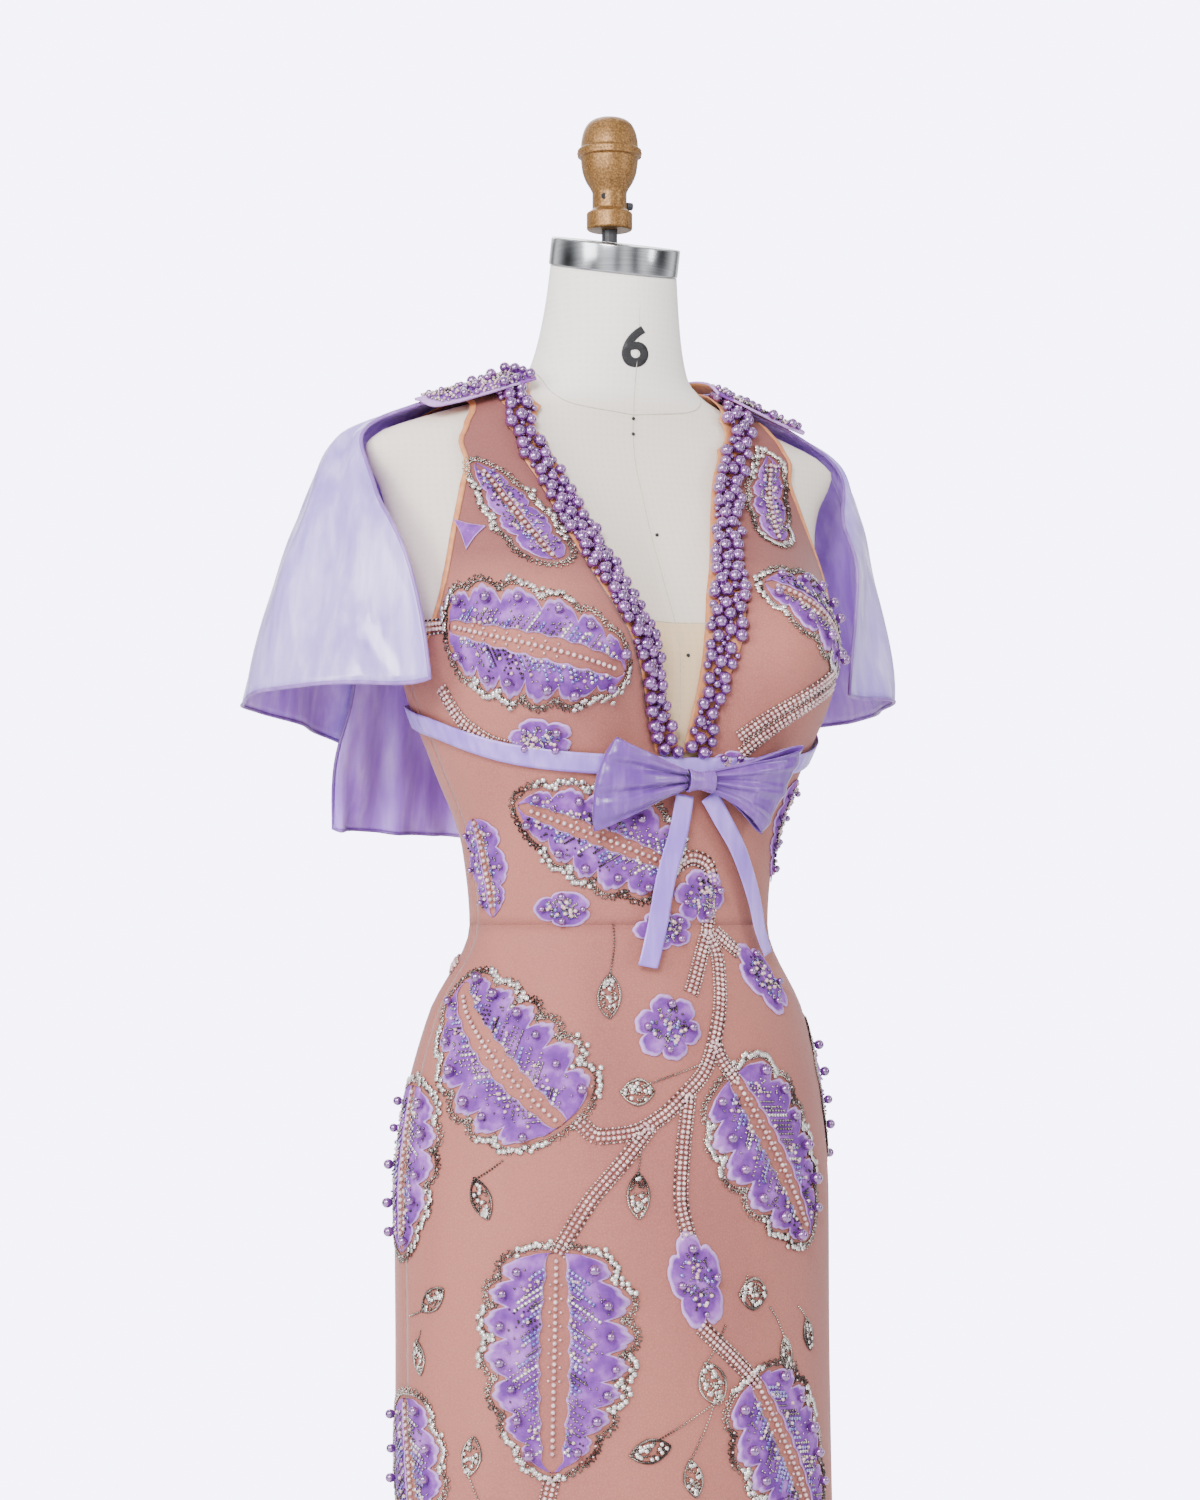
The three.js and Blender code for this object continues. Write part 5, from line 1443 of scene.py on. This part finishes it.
# %% Cape
CAPE_REST = (8.8, 9.0, 9.8)
CAPE_LEFT_WIDTH = (1, 1, 1, 1, 0.985, 0.96, 0.94)
CAPE_FOLDS = (
    # collar's angle and height, shoulder's, arm's, then points on the way to the hem
    (60, 1452, 74, 1440, 84, 1427, (211, 12, 1411), (207, -10, 1370), (201, -44, 1318), (187, -72, 1222)),
    (72, 1454, 82, 1440, 88, 1427, (215, 20, 1413), (222, -4, 1368), (226, -20, 1314), (222, -48, 1220)),
    (82, 1456, 88, 1440, 90, 1427, (217, 28, 1414), (234, 14, 1368), (246, 4, 1310), (254, -16, 1218)),
    (92, 1457, 94, 1440, 94, 1427, (217, 36, 1414), (241, 34, 1368), (260, 34, 1310), (279, 36, 1215)),
    (102, 1458, 100, 1440, 98, 1427, (216, 44, 1413), (240, 54, 1368), (260, 68, 1310), (285, 86, 1211)),
    (112, 1459, 108, 1441, 104, 1427, (212, 53, 1410), (228, 74, 1364), (240, 92, 1306), (252, 112, 1205)),
    (122, 1460, 118, 1442, 114, 1427, (198, 68, 1404), (208, 92, 1358), (214, 108, 1300), (208, 128, 1197)),
    (133, 1461, 130, 1443, 126, 1425, (172, 92, 1396), (180, 118, 1348), (184, 132, 1290), (172, 160, 1188)),
    (146, 1462, 144, 1443, 142, 1422, (125, 112, 1390), (128, 134, 1343), (130, 146, 1284), (122, 168, 1174)),
    (163, 1463, 162, 1443, 162, 1420, (62, 122, 1388), (64, 138, 1340), (66, 150, 1280), (62, 172, 1160)),
    (180, 1464, 180, 1443, 180, 1418, (0, 124, 1387), (0, 139, 1338), (0, 152, 1276), (0, 176, 1152)),
)
LOWER_FOLDS = (
    # top, shoulder blade, waist, fold and hem
    ((150, 88, 1390), (158, 104, 1340), (164, 120, 1280), (170, 140, 1200), (175, 160, 1117)),
    ((112, 102, 1392), (116, 120, 1342), (120, 135, 1282), (124, 150, 1200), (126, 166, 1115)),
    ((58, 110, 1394), (60, 126, 1344), (62, 139, 1284), (64, 154, 1200), (64, 169, 1113)),
    ((0, 112, 1395), (0, 128, 1345), (0, 141, 1285), (0, 156, 1200), (0, 171, 1112)),
)


def four_rows(count, position):
    """The share of the way to the next row, and the row before, the two beside and the one after."""
    i = np.minimum(np.floor(position).astype(int), count - 2)
    return (position - i)[:, None], [np.clip(i + k, 0, count - 1) for k in (-1, 0, 1, 2)]


def smooth_between(a, b, c, d, t):
    """Points between b and c on a smooth curve that passes a, b, c and d."""
    return 0.5 * (2 * b + (c - a) * t + (2 * a - 5 * b + 4 * c - d) * t * t + (3 * b - a - 3 * c + d) * t ** 3)


def fold_surface(lines):
    grid = np.array(lines, float)

    def at(u, v):
        t, rows = four_rows(grid.shape[0], u * (grid.shape[0] - 1))
        s, downs = four_rows(grid.shape[1], v * (grid.shape[1] - 1))
        columns = [smooth_between(*(grid[row, down] for down in downs), s) for row in rows]
        return smooth_between(*columns, t)

    return at


def whole_cape(half, left_width):
    """Both halves as one run of fold lines; the left one hangs a little closer to the side."""
    right = [[(-x, y, z) for x, y, z in line] for line in half]
    left = [[(x * share, y, z) for (x, y, z), share in zip(line, left_width)] for line in half[:-1]]
    return [*right, *left[::-1]]


upper_half = []
for fold in CAPE_FOLDS:
    on_form = [tuple(figure_point(fold[2 * k], fold[2 * k + 1], out)) for k, out in enumerate(CAPE_REST)]
    upper_half.append(on_form + list(fold[6:]))

CREASES = (
    # share of the depth, folds across, folds down, start
    (0.75, 6.3, 0.4, 0.5), (0.4, 11.7, -0.9, 2.1), (0.28, 4.1, 2.6, 1.0), (0.2, -8.3, 3.4, 4.0),
    (0.1, 19.0, 5.2, 0.3),
)
CREASE_FROM, WAVY_SHARE, WAVY_DEPTH, HEM_RADIUS = 0.18, 0.035, 3.5, 1.5


def cape_piece(name, node_name, half, left_width, columns, rows, depth):
    large_folds = fold_surface(whole_cape(half, left_width))

    def place(u, v):
        step = 0.004
        aside = large_folds(np.clip(u + step, 0, 1), v) - large_folds(np.clip(u - step, 0, 1), v)
        down = large_folds(u, np.clip(v + step, 0, 1)) - large_folds(u, np.clip(v - step, 0, 1))
        grow = np.clip((v - CREASE_FROM) / (1 - CREASE_FROM), 0, 1)
        folds = sum(share * np.sin(2 * np.pi * (along * u + fall * v) + start)
                    for share, along, fall, start in CREASES)
        edge = 1 - np.clip(np.minimum(u, 1 - u) / WAVY_SHARE, 0, 1)
        wavy = WAVY_DEPTH * edge * grow * np.sin(19 * v + 1)
        crease = unit(np.cross(aside, down)) * (depth * grow ** 1.3 * folds)[:, None]
        return large_folds(u, v) + crease + unit(aside) * wavy[:, None]

    piece = cloth_grid(name, columns, rows, place)
    width, length, area = cut_of(piece, columns, rows)
    face_away(piece)
    grid = (vertices_of(piece) / MM).reshape(rows + 1, columns + 1, 3)
    rim = np.vstack([grid[:, 0], grid[-1, 1:-1], grid[::-1, -1]])
    piece.data.materials.append(satin)
    # the inside face takes the wrong side's satin, whose deeper colour is painted shade
    piece.data.materials.append(shaded_satin_inside)
    thicken(piece, SATIN_WALL, side=0, inner_slot=1)
    smooth(piece)
    settle(piece, "satin", node_name)
    hem = cord(name + "_hem", rim, HEM_RADIUS, hem_satin)
    settle(hem, "satin")
    print(name, "cut", round(width, 3), "by", round(length, 3), "m")


cape_piece("satin_cape", "cape_upper_tier", upper_half, CAPE_LEFT_WIDTH, 160, 56, 6.5)
cape_piece("satin_cape_lower", "cape_lower_tier", LOWER_FOLDS, (1, 1, 1, 1, 1), 80, 44, 5.5)

# %% [markdown]
# The collar is two wings of velvet, lined in peach satin and covered with lilac pearls and
# silver beads.

# %% Collar
COLLAR = (
    # neck angle, neck height, edge angle, edge height
    (51, 1451, 52, 1444), (60, 1456, 55, 1434), (70, 1460, 62, 1423), (82, 1463, 77, 1427),
    (94, 1466, 92, 1430), (112, 1469, 112, 1439), (136, 1473, 140, 1450), (158, 1474, 160, 1454),
    (179.4, 1474, 179.4, 1455),
)
COLLAR_NECK_OUT, COLLAR_EDGE_OUT, COLLAR_WALL = 11.5, 13.5, 2.0
COLLAR_PEARLS = ((4.2, 12), (3.2, 20), (2.4, 30), (1.3, 1500))
collar_at = smooth_table([(i, *row) for i, row in enumerate(COLLAR)])


def collar_point(u, v, sign, extra):
    neck_angle, neck_height, edge_angle, edge_height = collar_at(u * (len(COLLAR) - 1)).T
    out = COLLAR_NECK_OUT + (COLLAR_EDGE_OUT - COLLAR_NECK_OUT) * v + extra
    return figure_point(sign * (neck_angle + (edge_angle - neck_angle) * v),
                        neck_height + (edge_height - neck_height) * v, out)


for side, sign in (("right", -1), ("left", 1)):
    wing = cloth_grid("collar_wing_" + side, 72, 10, lambda u, v: collar_point(u, v, sign, COLLAR_WALL))
    width, length, area = cut_of(wing, 72, 10)
    normals = np.array([face.normal.z for face in wing.data.polygons])
    if normals.sum() < 0:
        edit(wing, bpy.ops.mesh.flip_normals)
    wing.data.materials.append(velvet)
    wing.data.materials.append(binding)
    thicken(wing, COLLAR_WALL, inner_slot=1)
    smooth(wing)

    def collar_pearls(u, v, radius):
        return collar_point(0.02 + 0.96 * u, 0.08 + 0.86 * v, sign, COLLAR_WALL + 0.8 * radius)

    centres, radii = packed(COLLAR_PEARLS, collar_pearls, 1.0)
    large = radii > 2
    up = np.tile((0.0, 0.0, 1.0), (len(centres), 1))
    along = np.tile((1.0, 0.0, 0.0), (len(centres), 1))
    beads = sew_beads("beads_collar_" + side, [
        ("pearl", centres[large], up[large], along[large], radii[large]),
        ("silver", centres[~large][::2], up[~large][::2], along[~large][::2], radii[~large][::2]),
        ("white", centres[~large][1::2], up[~large][1::2], along[~large][1::2], radii[~large][1::2]),
    ])
    settle(wing, "pearls", "collar_" + side)
print("beads in all:", bead_total)

# %% [markdown]
# The dress stands on a plain pale floor in front of nothing, in soft light: a large lamp from
# the left of the camera, a weaker one from the right and one from above and behind. The world
# has light and dark walls, which only reflections and light see, and a plain pale one behind.

# %% Floor and light
paper, shader = finish("pale_studio_floor", 0xEDECF2, 0.9)
surface(paper, shader, grain(paper, 250), ((0.3, 0xEBEAF0), (0.7, 0xF0EFF5)))
floor = added("floor", bpy.ops.mesh.primitive_circle_add, vertices=96, radius=2.6, fill_type="NGON",
              location=(0, 0, -0.001))
floor.data.materials.append(paper)

world = bpy.data.worlds.new("studio")
bpy.context.scene.world = world
world.use_nodes = True
looks = world.node_tree.nodes
backdrop = looks["Background"]
feed(backdrop, {"Color": linear(0xE4E1FF), "Strength": 9.0})
direction = node(world, "ShaderNodeTexCoord").outputs["Generated"]
across_room = node(world, "ShaderNodeVectorMath", {0: direction, 1: sideways}, operation="DOT_PRODUCT")
share_across = node(world, "ShaderNodeMapRange", {"Value": across_room.outputs["Value"], "From Min": -1})
walls = node(world, "ShaderNodeValToRGB", {"Fac": share_across.outputs["Result"]},
             ((0.0, 0x101012), (0.1, 0xFFFFFF), (0.2, 0x202024), (0.34, 0xFFFFFF), (0.46, 0xF4F4FA),
              (0.54, 0x303034), (0.66, 0xFFFFFF), (0.8, 0x18181A), (0.9, 0xFFFFFF), (1.0, 0x101012)))
room = node(world, "ShaderNodeBackground", {"Color": walls.outputs["Color"], "Strength": 2.1})
seen = node(world, "ShaderNodeLightPath").outputs["Is Camera Ray"]
either = node(world, "ShaderNodeMixShader", {"Fac": seen, 1: room.outputs[0], 2: backdrop.outputs[0]})
feed(looks["World Output"], {"Surface": either.outputs[0]})


def lamp(name, place, target, size, power):
    light = bpy.data.lights.new(name, "AREA")
    light.shape = "RECTANGLE"
    light.size, light.size_y = size
    light.energy = power
    holder = bpy.data.objects.new(name, light)
    holder.location = place
    holder.rotation_euler = (Vector(target) - Vector(place)).to_track_quat("-Z", "Y").to_euler()
    bpy.context.collection.objects.link(holder)


lamp("soft_left", (-2.8, -1.0, 1.9), (0, 0, 1.0), (1.2, 1.8), 75)
lamp("key", (-1.6, -2.0, 2.3), (0, 0, 1.15), (0.8, 0.9), 85)
lamp("soft_right", (1.9, -2.2, 1.7), (0, 0, 1.1), (0.5, 1.4), 22)
lamp("soft_top", (0.4, 1.6, 3.0), (0, 0, 1.2), (2.0, 2.0), 45)
